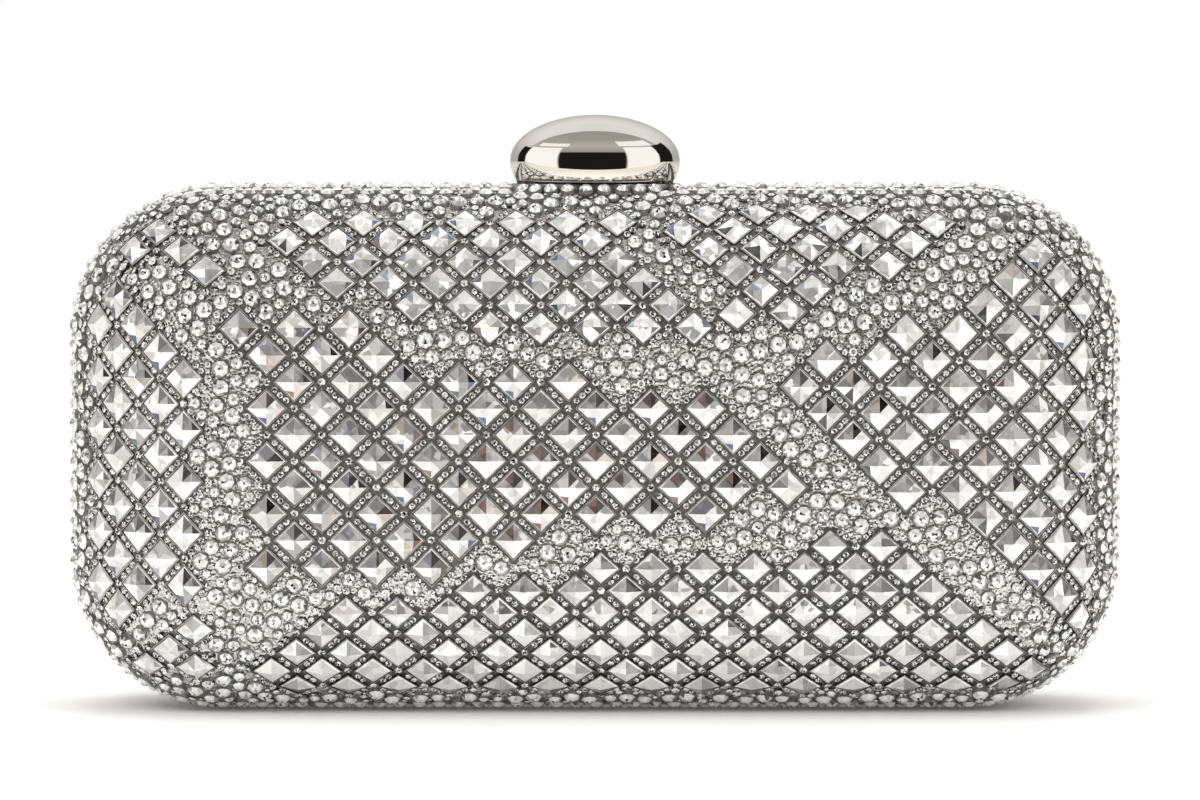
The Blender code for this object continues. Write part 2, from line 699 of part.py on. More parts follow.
def edge_strip(side, prefix, parent):
    """The rows of round stones that follow the seam, with the stones underneath cut to a flat foot."""
    corner, long_side, short_side = edge_steps()
    last = math.acos(1 - (EDGE_STRIP_INSET - CLEARANCE) / ROLL_REACH)
    end_depth = profile(last, 0.0)[1]
    bm = bmesh.new()
    rows = []
    for row in range(EDGE_ROWS + 1):
        depth = STONE_SETBACK + (end_depth - STONE_SETBACK) * row / EDGE_ROWS
        angle = math.asin(max(0.0, depth - SIDE_WALL_DEPTH) / ROLL_DEPTH)
        bare_inset, bare_depth = profile(angle, 0.0)
        verts = []
        for point, out in outline(bare_inset, corner, long_side, short_side):
            verts.append(bm.verts.new((point.x, min(depth, bare_depth), point.y)))
        rows.append(verts)
    for low, high in zip(rows, rows[1:]):
        for index in range(len(low)):
            following = (index + 1) % len(low)
            bm.faces.new((low[index], low[following], high[following], high[index]))
    tip = poke_tips(bm)
    copied = bmesh.ops.extrude_face_region(bm, geom=bm.faces[:])["geom"]
    top = {item for item in copied if isinstance(item, bmesh.types.BMVert)}
    bmesh.ops.dissolve_verts(bm, verts=[vert for vert in bm.verts if vert[tip] and vert not in top])
    for vert in bm.verts:
        height = BED_HEIGHT
        if vert in top:
            height = STONE_HEIGHT if vert[tip] else GIRDLE_HEIGHT
            if vert[tip] and vert.co.z < -SKIN_HALF_HEIGHT + EDGE_STRIP_INSET:
                height += FOOT_CUT
        inset, out = inset_of(vert.co.x, vert.co.z)
        angle = math.asin(max(0.0, min(ROLL_DEPTH, vert.co.y - SIDE_WALL_DEPTH)) / ROLL_DEPTH)
        bare_inset, bare_depth = profile(angle, 0.0)
        lifted_inset, lifted_depth = profile(angle, height)
        vert.co.x += out.x * (inset - lifted_inset)
        vert.co.z += out.y * (inset - lifted_inset) + CASE_CENTRE
        vert.co.y = side * (vert.co.y + lifted_depth - bare_depth)
    cut_faces = bmesh.ops.bisect_plane(bm, geom=bm.verts[:] + bm.edges[:] + bm.faces[:], plane_co=(0, 0, 0),
                                       plane_no=(0, 0, -1), clear_outer=True)["geom_cut"]
    bmesh.ops.holes_fill(bm, edges=[item for item in cut_faces if isinstance(item, bmesh.types.BMEdge)])
    return add_object(f"{prefix}_edge_stones", bm, STONE, parent)


def half_shell(side, prefix, parent):
    """The pressed metal shell of one half."""
    outer = [ring(inset, depth, side) for inset, depth in section(0.0, SHELL_MOUTH)]
    inner = [ring(inset, depth, side) for inset, depth in section(-SHELL_WALL, SHELL_MOUTH)]
    bm = loft(outer[::-1] + inner)
    return add_object(f"{prefix}_shell", bm, SHELL_METAL, parent, smooth=40)


def half_lining(side, prefix, parent):
    """The thin cloth-covered liner of one half."""
    outside = -SHELL_WALL - CLEARANCE
    outer = [ring(inset, depth, side) for inset, depth in section(outside, LINING_MOUTH)]
    inner = [ring(inset, depth, side) for inset, depth in section(outside - LINING_WALL, LINING_MOUTH)]
    bm = loft(outer[::-1] + inner)
    return add_object(f"{prefix}_lining", bm, SATIN_CLOTH, parent, smooth=40)


def half_rim(side, prefix, parent):
    """The frame round one half's mouth: a bevelled flange and a lip that stands inside the shell."""
    seam = SEAM_GAP / 2
    back = seam + FLANGE_THICKNESS
    points = ((-RIM_PROUD, seam + GROOVE_INSET + RIM_PROUD), (GROOVE_INSET, seam),
              (LIP_INSET + LIP_WALL, seam), (LIP_INSET + LIP_WALL, LIP_DEPTH), (LIP_INSET, LIP_DEPTH),
              (LIP_INSET, back), (-RIM_PROUD, back))
    bm = loft([ring(inset, depth, side) for inset, depth in points], closed=True)
    return add_object(f"{prefix}_rim", bm, FRAME_METAL, parent, smooth=40)


def knuckle_places(own):
    """Where a half's knuckles start and end along the hinge: the outer two of three, or the middle one."""
    pitch = KNUCKLE_LENGTH + CLEARANCE
    steps = (-1, 1) if own == BACK else (0,)
    return [(side * HINGE_SPACING / 2 + step * pitch) for side in (-1, 1) for step in steps]


def rods_on_hinge(places, radius, length):
    """Rods that lie on the hinge's axis."""
    rods = [moved(laid_along_x(rod(radius, -length / 2, length / 2)), (place, 0, HINGE_HEIGHT))
            for place in places]
    return merged(rods)


def fit_hinge(rim, side, prefix):
    """Notch a rim for the other half's knuckles, and give it its own, bored for the pin."""
    notches = []
    for place in knuckle_places(-side):
        half = KNUCKLE_LENGTH / 2 + CLEARANCE
        near, far = sorted((-side * OVERRUN, side * NOTCH_DEPTH))
        notches.append(box((place - half, near, -OVERRUN),
                           (place + half, far, HINGE_HEIGHT + KNUCKLE_RADIUS + CLEARANCE)))
    cut(rim, add_object(f"{prefix}_notch_cutter", merged(notches)))
    own = rods_on_hinge(knuckle_places(side), KNUCKLE_RADIUS, KNUCKLE_LENGTH)
    cut(rim, add_object(f"{prefix}_knuckle_union", own), "UNION")
    bore = rods_on_hinge(knuckle_places(side), KNUCKLE_BORE_RADIUS, KNUCKLE_LENGTH + OVERRUN / 2)
    cut(rim, add_object(f"{prefix}_bore_cutter", bore))


def hinge_pins(parent):
    """The two pins of the hinge."""
    length = 3 * KNUCKLE_LENGTH + 2 * CLEARANCE - 2 * PIN_END_SETBACK
    for name, side in (("left", -1), ("right", 1)):
        bm = laid_along_x(rod(PIN_RADIUS, -length / 2, length / 2))
        moved(bm, (side * HINGE_SPACING / 2, 0, HINGE_HEIGHT))
        add_object(f"hinge_pin_{name}", bm, FRAME_METAL, parent, smooth=40)


def clasp_knob(parent):
    """The oval knob: a turned crown and belly, drawn in from front to back, with two post sockets."""
    half = KNOB_WIDTH / 2
    foot_angle = math.asin(KNOB_FOOT_DROP / KNOB_BELLY)
    points = [(0, KNOB_FOOT)]
    for step in range(KNOB_BELLY_STEPS):
        angle = foot_angle * (1 - step / KNOB_BELLY_STEPS)
        points.append((half * math.cos(angle), KNOB_WAIST - KNOB_BELLY * math.sin(angle)))
    for step in range(KNOB_CROWN_STEPS):
        angle = math.pi / 2 * step / KNOB_CROWN_STEPS
        points.append((half * math.cos(angle), KNOB_WAIST + KNOB_CROWN * math.sin(angle)))
    points.append((0, KNOB_WAIST + KNOB_CROWN))
    bm = turned(points, KNOB_STEPS)
    bmesh.ops.scale(bm, vec=(1, KNOB_DEPTH / KNOB_WIDTH, 1), verts=bm.verts[:])
    knob = add_object("clasp_knob", bm, POLISHED_CHROME, parent, smooth=50)
    sockets = merged([moved(rod(POST_RADIUS + CLEARANCE, KNOB_FOOT - OVERRUN, KNOB_FOOT + POST_SOCKET_DEPTH),
                            (side * POST_SPACING / 2, POST_BACK, 0)) for side in (-1, 1)])
    cut(knob, add_object("knob_socket_cutter", sockets))


def clasp_posts(parent):
    """The two turned posts, each with a collar that stops under the lip, and the nuts on them."""
    for name, side in (("left", -1), ("right", 1)):
        place = (side * POST_SPACING / 2, POST_BACK, 0)
        top = KNOB_FOOT + POST_SOCKET_DEPTH - CLEARANCE
        points = ((0, POST_TAIL_END), (POST_TAIL_RADIUS, POST_TAIL_END), (POST_TAIL_RADIUS, CATCH_UNDERSIDE),
                  (COLLAR_RADIUS, CATCH_UNDERSIDE), (COLLAR_RADIUS, CATCH_TOP), (POST_RADIUS, CATCH_TOP),
                  (POST_RADIUS, top), (0, top))
        post = moved(turned(points, ROUND_STEPS), place)
        add_object(f"clasp_post_{name}", post, SPRING_STEEL, parent, smooth=40)
        nut = rod(NUT_RADIUS, NUT_UNDERSIDE, NUT_TOP, NUT_SIDES)
        nut = add_object(f"post_nut_{name}", moved(nut, place), SPRING_STEEL, parent)
        hole = moved(rod(POST_TAIL_RADIUS + CLEARANCE, NUT_UNDERSIDE - OVERRUN, NUT_TOP + OVERRUN), place)
        cut(nut, add_object(f"post_nut_{name}_cutter", hole))


def post_holes(radius, low, high):
    """A cutter for the two holes that the posts run in."""
    return merged([moved(rod(radius, low, high), (side * POST_SPACING / 2, POST_BACK, 0))
                   for side in (-1, 1)])


def latch_plate(parent):
    """The plate that the posts carry, with the tooth that holds the front half's catch."""
    half = LATCH_WIDTH / 2
    plate = box((-half, LATCH_FRONT, LATCH_UNDERSIDE), (half, LATCH_BACK, LATCH_TOP))
    plate = add_object("latch_plate", plate, SPRING_STEEL, parent)
    tooth = box((-TOOTH_WIDTH / 2, TOOTH_BACK, LATCH_UNDERSIDE + LATCH_THICKNESS / 2),
                (TOOTH_WIDTH / 2, TOOTH_BACK + TOOTH_THICKNESS, LATCH_TOP + TOOTH_RISE))
    cut(plate, add_object("latch_tooth_union", tooth), "UNION")
    holes = post_holes(POST_TAIL_RADIUS + CLEARANCE, LATCH_UNDERSIDE - OVERRUN, LATCH_TOP + OVERRUN)
    cut(plate, add_object("latch_hole_cutter", holes))


def rivet(name, x, y, parent):
    """One rivet, its head under the plate and its shank through the lip."""
    head_top = CATCH_UNDERSIDE - CLEARANCE
    end = SKIN_TOP - LIP_INSET
    points = ((0, head_top - RIVET_HEAD_HEIGHT), (RIVET_HEAD_RADIUS, head_top - RIVET_HEAD_HEIGHT),
              (RIVET_HEAD_RADIUS, head_top), (RIVET_RADIUS, head_top), (RIVET_RADIUS, end), (0, end))
    add_object(name, moved(turned(points, ROUND_STEPS // 2), (x, y, 0)), FRAME_METAL, parent, smooth=40)


def rivet_holes(places):
    """A cutter for rivet holes."""
    return merged([moved(rod(RIVET_RADIUS + CLEARANCE, CATCH_UNDERSIDE - OVERRUN,
                             SKIN_TOP - SHELL_WALL - CLEARANCE / 2, ROUND_STEPS // 2), (x, y, 0))
                   for x, y in places])


def catch_plate(parent, rim):
    """The front half's catch: a riveted plate whose tongue reaches over the latch's tooth."""
    half = CATCH_WIDTH / 2
    shoulder = SEAM_GAP * 2
    plate = box((-half, -CATCH_FRONT, CATCH_UNDERSIDE), (half, -shoulder, CATCH_TOP))
    plate = add_object("catch_plate", plate, SPRING_STEEL, parent)
    tongue = box((-CATCH_TONGUE_WIDTH / 2, -CATCH_FRONT / 2, CATCH_UNDERSIDE),
                 (CATCH_TONGUE_WIDTH / 2, CATCH_BACK, CATCH_TOP))
    cut(plate, add_object("catch_tongue_union", tongue), "UNION")
    half_window = TOOTH_WIDTH / 2 + WINDOW_MARGIN
    window = box((-half_window, TOOTH_BACK - WINDOW_MARGIN, CATCH_UNDERSIDE - OVERRUN),
                 (half_window, TOOTH_BACK + TOOTH_THICKNESS + WINDOW_MARGIN, CATCH_TOP + OVERRUN))
    cut(plate, add_object("catch_window_cutter", window))
    places = [(side * CATCH_RIVET_SPACING / 2, -CATCH_RIVET_BACK) for side in (-1, 1)]
    cut(plate, add_object("catch_rivet_cutter", rivet_holes(places)))
    cut(rim, add_object("front_rim_rivet_cutter", rivet_holes(places)))
    for name, (x, y) in zip(("left", "right"), places):
        rivet(f"catch_rivet_{name}", x, y, parent)


def guide_bracket(parent, rim):
    """The hat-shaped bracket under the back lip, which guides the posts and carries the springs."""
    half = BRACKET_WIDTH / 2
    reach = half + BRACKET_FLANGE
    width = (BRACKET_FRONT, BRACKET_BACK)
    inner = half - BRACKET_WALL
    shape = ((-reach, CATCH_TOP), (-inner, CATCH_TOP), (-inner, BRACKET_FLOOR_TOP),
             (inner, BRACKET_FLOOR_TOP), (inner, CATCH_TOP), (reach, CATCH_TOP),
             (reach, CATCH_UNDERSIDE), (half, CATCH_UNDERSIDE), (half, BRACKET_UNDERSIDE),
             (-half, BRACKET_UNDERSIDE), (-half, CATCH_UNDERSIDE), (-reach, CATCH_UNDERSIDE))
    bm = bmesh.new()
    face = bm.faces.new([bm.verts.new((x, width[0], z)) for x, z in shape])
    pushed = bmesh.ops.extrude_face_region(bm, geom=[face])["geom"]
    bmesh.ops.translate(bm, vec=(0, width[1] - width[0], 0),
                        verts=[item for item in pushed if isinstance(item, bmesh.types.BMVert)])
    bracket = add_object("clasp_bracket", bm, FRAME_METAL, parent)
    holes = post_holes(POST_TAIL_RADIUS + CLEARANCE, BRACKET_UNDERSIDE - OVERRUN,
                       BRACKET_FLOOR_TOP + OVERRUN)
    cut(bracket, add_object("bracket_hole_cutter", holes))
    middle = half + BRACKET_FLANGE / 2
    places = [(side * middle, POST_BACK) for side in (-1, 1)]
    cut(bracket, add_object("bracket_rivet_cutter", rivet_holes(places)))
    cut(rim, add_object("back_rim_rivet_cutter", rivet_holes(places)))
    for name, (x, y) in zip(("left", "right"), places):
        rivet(f"bracket_rivet_{name}", x, y, parent)


def least_gap(centres):
    """The least gap between a spring's turns, from its wire's centres half a turn apart or more."""
    apart = SPRING_POINTS_PER_TURN // 2
    return min((far - near).length for index, near in enumerate(centres)
               for far in centres[index + apart:]) - 2 * SPRING_WIRE_RADIUS


def clasp_springs(parent):
    """The two coil springs that push the clasp up, each one unbroken wire."""
    rise = SPRING_LENGTH - 2 * SPRING_WIRE_RADIUS
    count = SPRING_TURNS * SPRING_POINTS_PER_TURN
    for name, side in (("left", -1), ("right", 1)):
        rings = []
        centres = []
        for index in range(count + 1):
            turn = math.tau * index / SPRING_POINTS_PER_TURN
            out = Vector((math.cos(turn), math.sin(turn), 0))
            height = SPRING_FOOT + SPRING_WIRE_RADIUS + rise * index / count
            centre = Vector((side * POST_SPACING / 2, POST_BACK, height)) + SPRING_RADIUS * out
            centres.append(centre)
            corners = [math.tau * corner / SPRING_SIDES for corner in range(SPRING_SIDES)]
            rings.append([centre + SPRING_WIRE_RADIUS * (out * math.cos(around) + UP * math.sin(around))
                          for around in corners])
        add_object(f"clasp_spring_{name}", loft(rings), SPRING_STEEL, parent, smooth=60)
        print(f"clasp_spring_{name}: least gap between turns {least_gap(centres):.5f} m")


def build():
    """Build the clutch."""
    clear_scene()
    back_half = add_axis("back_half", (0, 0, 0))
    front_half = add_axis("front_half", (0, 0, HINGE_HEIGHT))
    clasp_button = add_axis("clasp_button", (0, 0, KNOB_FOOT))
    panels = all_panels()
    rims = {}
    for side, prefix, parent in ((BACK, "back", back_half), (FRONT, "front", front_half)):
        shell = half_shell(side, prefix, parent)
        rims[side] = half_rim(side, prefix, parent)
        fit_hinge(rims[side], side, prefix)
        half_lining(side, prefix, parent)
        strip = edge_strip(side, prefix, parent)
        seat = rod(KNOB_WIDTH / 2 + SEAT_MARGIN, SKIN_TOP - OVERRUN, CASE_HEIGHT + OVERRUN, SEAT_STEPS)
        bmesh.ops.scale(seat, vec=(1, KNOB_DEPTH / KNOB_WIDTH, 1), verts=seat.verts[:])
        cut(strip, add_object(f"{prefix}_seat_cutter", seat))
        for name, cells in ((name, cells) for name, cells in panels.items() if cells):
            stone_panel(name, cells, side, prefix, parent)
        stone_bands(panels, side, prefix, parent)
        if side == BACK:
            run = post_holes(POST_RADIUS + CLEARANCE, LIP_UNDERSIDE - OVERRUN, SKIN_TOP + OVERRUN)
            run = add_object("post_run_cutter", run)
            cut(shell, run)
            cut(rims[side], run)
    hinge_pins(back_half)
    guide_bracket(back_half, rims[BACK])
    clasp_springs(back_half)
    catch_plate(front_half, rims[FRONT])
    clasp_knob(clasp_button)
    clasp_posts(clasp_button)
    latch_plate(clasp_button)


build()
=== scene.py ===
"""Looks of a crystal-set box clutch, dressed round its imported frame.

Everything is in metres, +Z up, and the front faces -Y. Stones and settings are modelled flat, on the unfolded
skin of the case, where X and Y run along the skin and Z is the height over it, and are then laid on the case.
"""
from __future__ import annotations

import json
import logging
import math
import random
from collections.abc import Iterable, Sequence
from dataclasses import dataclass, field
from enum import Enum, IntEnum
from functools import cached_property
from itertools import product

import bmesh
import bpy
import numpy as np
from mathutils import Matrix, Vector
from mathutils.kdtree import KDTree

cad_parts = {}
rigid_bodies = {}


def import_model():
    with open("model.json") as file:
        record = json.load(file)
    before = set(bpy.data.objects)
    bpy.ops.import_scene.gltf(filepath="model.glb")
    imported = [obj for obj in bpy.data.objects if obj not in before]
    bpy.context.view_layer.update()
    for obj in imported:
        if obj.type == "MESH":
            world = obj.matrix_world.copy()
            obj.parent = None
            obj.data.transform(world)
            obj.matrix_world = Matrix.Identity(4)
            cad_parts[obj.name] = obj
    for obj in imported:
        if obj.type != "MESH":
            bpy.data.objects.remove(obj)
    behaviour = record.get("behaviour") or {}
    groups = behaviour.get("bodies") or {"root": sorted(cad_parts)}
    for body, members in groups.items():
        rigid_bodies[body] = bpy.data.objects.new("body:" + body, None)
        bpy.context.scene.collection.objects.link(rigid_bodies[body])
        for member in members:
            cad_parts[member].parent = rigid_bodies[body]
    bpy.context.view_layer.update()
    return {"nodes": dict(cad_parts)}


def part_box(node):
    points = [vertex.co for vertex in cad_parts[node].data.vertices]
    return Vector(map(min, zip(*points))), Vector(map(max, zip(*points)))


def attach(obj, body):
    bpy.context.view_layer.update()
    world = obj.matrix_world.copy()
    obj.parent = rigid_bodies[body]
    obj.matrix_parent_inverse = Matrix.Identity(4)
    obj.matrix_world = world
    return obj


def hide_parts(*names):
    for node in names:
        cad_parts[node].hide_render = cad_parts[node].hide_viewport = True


LOG = logging.getLogger("clutch")
Colour = tuple[float, float, float]
Cell = list[Vector]
Cells = dict[tuple[int, int], Cell]
Weights = dict[str, float]
Socket = bpy.types.NodeSocket
Feed = Socket | float | Colour
WHITE: Colour = (1.0, 1.0, 1.0)
# Face colours: on the crystals painted reflections and painted shade, on the settings partly the metal's
# colour and partly painted shade and painted highlights.
TINT = "tint"
OCTANT_DEGREES = 45
COLOUR_MIX_INPUTS = (0, 6, 7)
COLOUR_MIX_OUTPUT = 2


def sides(ring: Sequence) -> Iterable[tuple]:
    """Return the pairs of neighbours round a ring, of which the last pair closes it."""
    return zip(ring, [*ring[1:], ring[0]])


class Side(Enum):
    """The two halves of the case, by the way that each one faces along Y."""

    FRONT = -1
    BACK = 1

    @property
    def prefix(self) -> str:
        """Return the start of the half's node names."""
        return self.name.lower()

    @property
    def body(self) -> str:
        """Return the name of the half's moving body."""
        return f"{self.prefix}_half"


class Slot(Enum):
    """The record's material slots, passed along with the pieces made here."""

    SQUARE = "square_crystal"
    ROUND = "edge_crystal"
    FRAME = "frame_metal"
    KNOB = "knob_chrome"
    LINING = "lining_cloth"


@dataclass(frozen=True)
class CaseForm:
    """The skin of the case: a rounded rectangle that rolls from a short side wall onto a flat face."""

    half_width: float
    half_height: float
    face_depth: float
    centre_height: float
    corner_radius: float = 0.0265
    side_wall: float = 0.007
    roll_reach: float = 0.031
    least_radius: float = 0.001
    probe_height: float = 0.001
    samples: int = 240

    @classmethod
    def from_frame(cls) -> CaseForm:
        """Read the skin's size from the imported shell.

        Returns:
            The form that both halves share.
        """
        low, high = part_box("front_shell")
        return cls(high.x, (high.z - low.z) / 2, -low.y, (high.z + low.z) / 2)

    @property
    def roll_depth(self) -> float:
        """Return how far the roll rises from the side wall to the face."""
        return self.face_depth - self.side_wall

    def section(self, angle: float, height: float) -> tuple[float, float]:
        """Find a point of the roll.

        Args:
            angle: where on the roll, from 0 at the side wall to a quarter turn at the face.
            height: how far out from the skin.

        Returns:
            The point's inset from the outline and its depth from the seam.
        """
        normal = Vector((-math.cos(angle) / self.roll_reach, math.sin(angle) / self.roll_depth)).normalized()
        inset = self.roll_reach * (1 - math.cos(angle)) + height * normal.x
        depth = self.side_wall + self.roll_depth * math.sin(angle) + height * normal.y
        return inset, depth

    @cached_property
    def _roll(self) -> tuple[np.ndarray, np.ndarray, np.ndarray]:
        """Measure the roll.

        Returns:
            Arc lengths from the side wall, insets and angles along the roll.
        """
        angles = np.linspace(0, math.pi / 2, self.samples)
        points = np.array([self.section(angle, 0.0) for angle in angles])
        steps = np.hypot(*np.diff(points, axis=0).T)
        return np.concatenate(([0.0], np.cumsum(steps))), points[:, 0], angles

    def fold(self, distance: float, half: float) -> float:
        """Turn a distance along the skin from the face's middle into one seen from the front.

        Args:
            distance: the distance along the skin.
            half: the skin's half size in that direction.

        Returns:
            The distance seen from the front.
        """
        flat = half - self.roll_reach
        if abs(distance) <= flat:
            return distance
        arcs, insets, _ = self._roll
        inset = float(np.interp(arcs[-1] - (abs(distance) - flat), arcs, insets))
        return math.copysign(half - inset, distance)

    def unfold(self, seen: float, half: float) -> float:
        """Turn a distance seen from the front into one along the skin.

        Args:
            seen: the distance seen from the front.
            half: the skin's half size in that direction.

        Returns:
            The distance along the skin.
        """
        flat = half - self.roll_reach
        if abs(seen) <= flat:
            return seen
        arcs, insets, _ = self._roll
        return math.copysign(flat + arcs[-1] - float(np.interp(half - abs(seen), insets, arcs)), seen)

    def folded(self, place: Vector) -> tuple[float, float]:
        """Return where a place of the unfolded skin is seen from the front."""
        return self.fold(place.x, self.half_width), self.fold(place.y, self.half_height)

    def unfolded(self, x: float, z: float) -> tuple[float, float]:
        """Return the place of the unfolded skin for one that is seen from the front."""
        return self.unfold(x, self.half_width), self.unfold(z, self.half_height)

    @cached_property
    def skin_half(self) -> tuple[float, float]:
        """Return the half sizes of the unfolded skin."""
        return self.unfolded(self.half_width, self.half_height)

    def inset_of(self, x: float, z: float) -> tuple[float, Vector]:
        """Find how far inside the outline a place lies.

        Args:
            x: the place across the case.
            z: the place up the case, from its centre.

        Returns:
            The inset and the way out to the outline.
        """
        over_x = abs(x) - (self.half_width - self.corner_radius)
        over_z = abs(z) - (self.half_height - self.corner_radius)
        if over_x > 0 and over_z > 0:
            reach = math.hypot(over_x, over_z)
            out = Vector((over_x / reach, over_z / reach))
        else:
            reach = max(over_x, over_z)
            out = Vector((1, 0)) if over_x > over_z else Vector((0, 1))
        return self.corner_radius - reach, Vector((math.copysign(out.x, x), math.copysign(out.y, z)))

    def on_case(self, x: float, z: float, height: float, side: Side) -> Vector:
        """Find the point at a height over the skin.

        Args:
            x: the place across the case, seen from the front.
            z: the place up the case, from its centre.
            height: how far out from the skin.
            side: the half.

        Returns:
            The point.
        """
        inset, out = self.inset_of(x, z)
        share = 1 - min(max(inset, 0.0), self.roll_reach) / self.roll_reach
        moved, depth = self.section(math.acos(share), height)
        shift = out * (self.roll_reach * (1 - share) - moved)
        return Vector((x + shift.x, side.value * depth, self.centre_height + z + shift.y))

    def lay(self, place: Vector, side: Side) -> Vector:
        """Lay a place of the unfolded skin on the case.

        Args:
            place: X and Y along the skin, and the height as Z.
            side: the half.

        Returns:
            The point on the case.
        """
        return self.on_case(*self.folded(place), place.z, side)

    def normal(self, place: Vector, side: Side) -> Vector:
        """Return the way out of the skin at a place of the unfolded skin."""
        low = self.lay(Vector((place.x, place.y, 0.0)), side)
        return (self.lay(Vector((place.x, place.y, self.probe_height)), side) - low).normalized()

    def outline(self, inset: float, count: int, start: float = 0.0) -> list[tuple[Vector, Vector]]:
        """Space points evenly round the case.

        Args:
            inset: how far inside the outline.
            count: how many points.
            start: where the first one lies, as a share of their pitch.

        Returns:
            Places (x, z) from the case's centre, each with the way out.
        """
        radius = max(self.corner_radius - inset, self.least_radius)
        wide = self.half_width - inset - radius
        high = self.half_height - inset - radius
        quarter = math.pi / 2 * radius
        runs = (2 * high, quarter, 2 * wide, quarter) * 2
        length = sum(runs)
        corners = (Vector((wide, high)), Vector((-wide, high)), Vector((-wide, -high)), Vector((wide, -high)))
        points = []
        for index in range(count):
            left = (index + start) / count * length
            run = 0
            while left > runs[run]:
                left -= runs[run]
                run += 1
            turn = run // 2 * math.pi / 2
            out = Vector((math.cos(turn), math.sin(turn)))
            corner = corners[run // 2]
            if run % 2:
                turn += left / radius
                out = Vector((math.cos(turn), math.sin(turn)))
                points.append((corner + radius * out, out))
            else:
                along = Vector((-out.y, out.x))
                points.append((corner + radius * out + along * (left - runs[run]), out))
        return points

    def ring(self, inset: float, depth: float, count: int, side: Side) -> list[Vector]:
        """Space points evenly round one half.

        Args:
            inset: how far inside the outline.
            depth: how far from the seam.
            count: how many points.
            side: the half.

        Returns:
            The points.
        """
        return [Vector((place.x, side.value * depth, self.centre_height + place.y))
                for place, _ in self.outline(inset, count)]

    def round_length(self, inset: float) -> float:
        """Return the length of the outline at an inset."""
        radius = max(self.corner_radius - inset, self.least_radius)
        return 4 * (self.half_width + self.half_height - 2 * inset - 2 * radius) + math.tau * radius

    def across(self, distance: float, height: float) -> tuple[float, float, float]:
        """Find a point of the section by its distance along the skin from the seam.

        Args:
            distance: the distance from the seam.
            height: how far out from the skin.

        Returns:
            The bare inset, and the inset and depth of the point.
        """
        if distance <= self.side_wall:
            return 0.0, -height, distance
        arcs, _, angles = self._roll
        angle = float(np.interp(distance - self.side_wall, arcs, angles))
        return self.section(angle, 0.0)[0], *self.section(angle, height)


@dataclass(frozen=True)
class Panel:
    """One panel of square stones: its outline and first stone, in shares of the half sizes, and lattice."""

    name: str
    outline_shares: tuple[tuple[float, float], ...]
    seed_share: tuple[float, float]
    wide: float
    high: float
    turn_degrees: float = 0.0
    stone: float = 0.00496

    @property
    def side(self) -> float:
        """Return the side of one lattice cell."""
        return math.hypot(self.wide, self.high) / 2

    @property
    def channel(self) -> float:
        """Return half the width of the channel between two stones."""
        return (self.wide * self.high / 2 / self.side - self.stone) / 2


PANELS = (
    Panel("centre", (
        (-0.700, 0.420), (-0.700, 0.560), (-0.517, 0.560), (-0.380, 0.397), (-0.283, 0.370), (-0.020, 0.354),
        (0.010, 0.240), (0.244, 0.240), (0.416, -0.147), (0.205, -0.274), (0.049, -0.298), (-0.107, -0.354),
        (-0.244, -0.410), (-0.400, -0.490), (-0.660, -0.500), (-0.655, 0.400)),
        (-0.2606, 0.0743), 0.01027, 0.0099),
    Panel("left", (
        (-1.009, 0.656), (-0.907, 0.656), (-0.833, 0.544), (-0.757, 0.318), (-0.757, -0.480),
        (-0.868, -0.670), (-1.001, -0.664)),
        (-0.9480, 0.0922), 0.0090, 0.0097),
    Panel("right", (
        (0.360, 0.240), (0.425, 0.440), (0.500, 0.400), (0.578, 0.549), (0.646, 0.509), (0.715, 0.641),
        (0.823, 0.882), (0.872, 0.942), (1.009, 0.822), (1.009, -0.782), (0.970, -0.800), (0.911, -0.649),
        (0.686, -0.220), (0.646, -0.168), (0.578, -0.232), (0.366, 0.196)),
        (0.3925, 0.2629), 0.00992, 0.00987),
    Panel("top_left", (
        (-0.722, 0.990), (-0.500, 0.600), (-0.400, 0.560), (-0.310, 0.500), (-0.070, 0.440), (0.249, 0.441),
        (0.229, 0.533), (0.186, 0.601), (0.127, 0.693), (0.080, 0.782), (0.080, 0.990)),
        (-0.1524, 0.8843), 0.00955, 0.0083, stone=0.0044),
    Panel("top_right", (
        (0.095, 0.990), (0.095, 0.790), (0.127, 0.720), (0.190, 0.620), (0.250, 0.530), (0.270, 0.477),
        (0.322, 0.477), (0.449, 0.576), (0.722, 0.886), (0.741, 0.990)),
        (0.3638, 0.8625), 0.00955, 0.0083, turn_degrees=2.0, stone=0.0044),
    Panel("bottom", (
        (-0.702, -0.998), (-0.566, -0.650), (-0.420, -0.580), (-0.302, -0.560), (-0.150, -0.470),
        (0.088, -0.400), (0.205, -0.400), (0.400, -0.400), (0.430, -0.300), (0.575, -0.300), (0.663, -0.457),
        (0.849, -0.815), (0.888, -0.974)),
        (0.3043, -0.4491), 0.00955, 0.0083, stone=0.0044),
    Panel("upper_left", (
        (-1.000, 0.720), (-0.870, 1.000), (-0.815, 0.890), (-0.760, 0.815), (-0.700, 0.760), (-0.715, 0.660),
        (-0.780, 0.690), (-0.800, 0.745), (-0.860, 0.735), (-0.930, 0.700)),
        (-0.793, 0.780), 0.0094, 0.0080, stone=0.0044),
    Panel("lower_left", (
        (-0.980, -0.775), (-0.868, -0.727), (-0.761, -0.664), (-0.720, -0.700), (-0.740, -0.850),
        (-0.780, -1.000), (-0.888, -0.990)),
        (-0.861, -0.838), 0.0094, 0.0080, stone=0.0044),
)


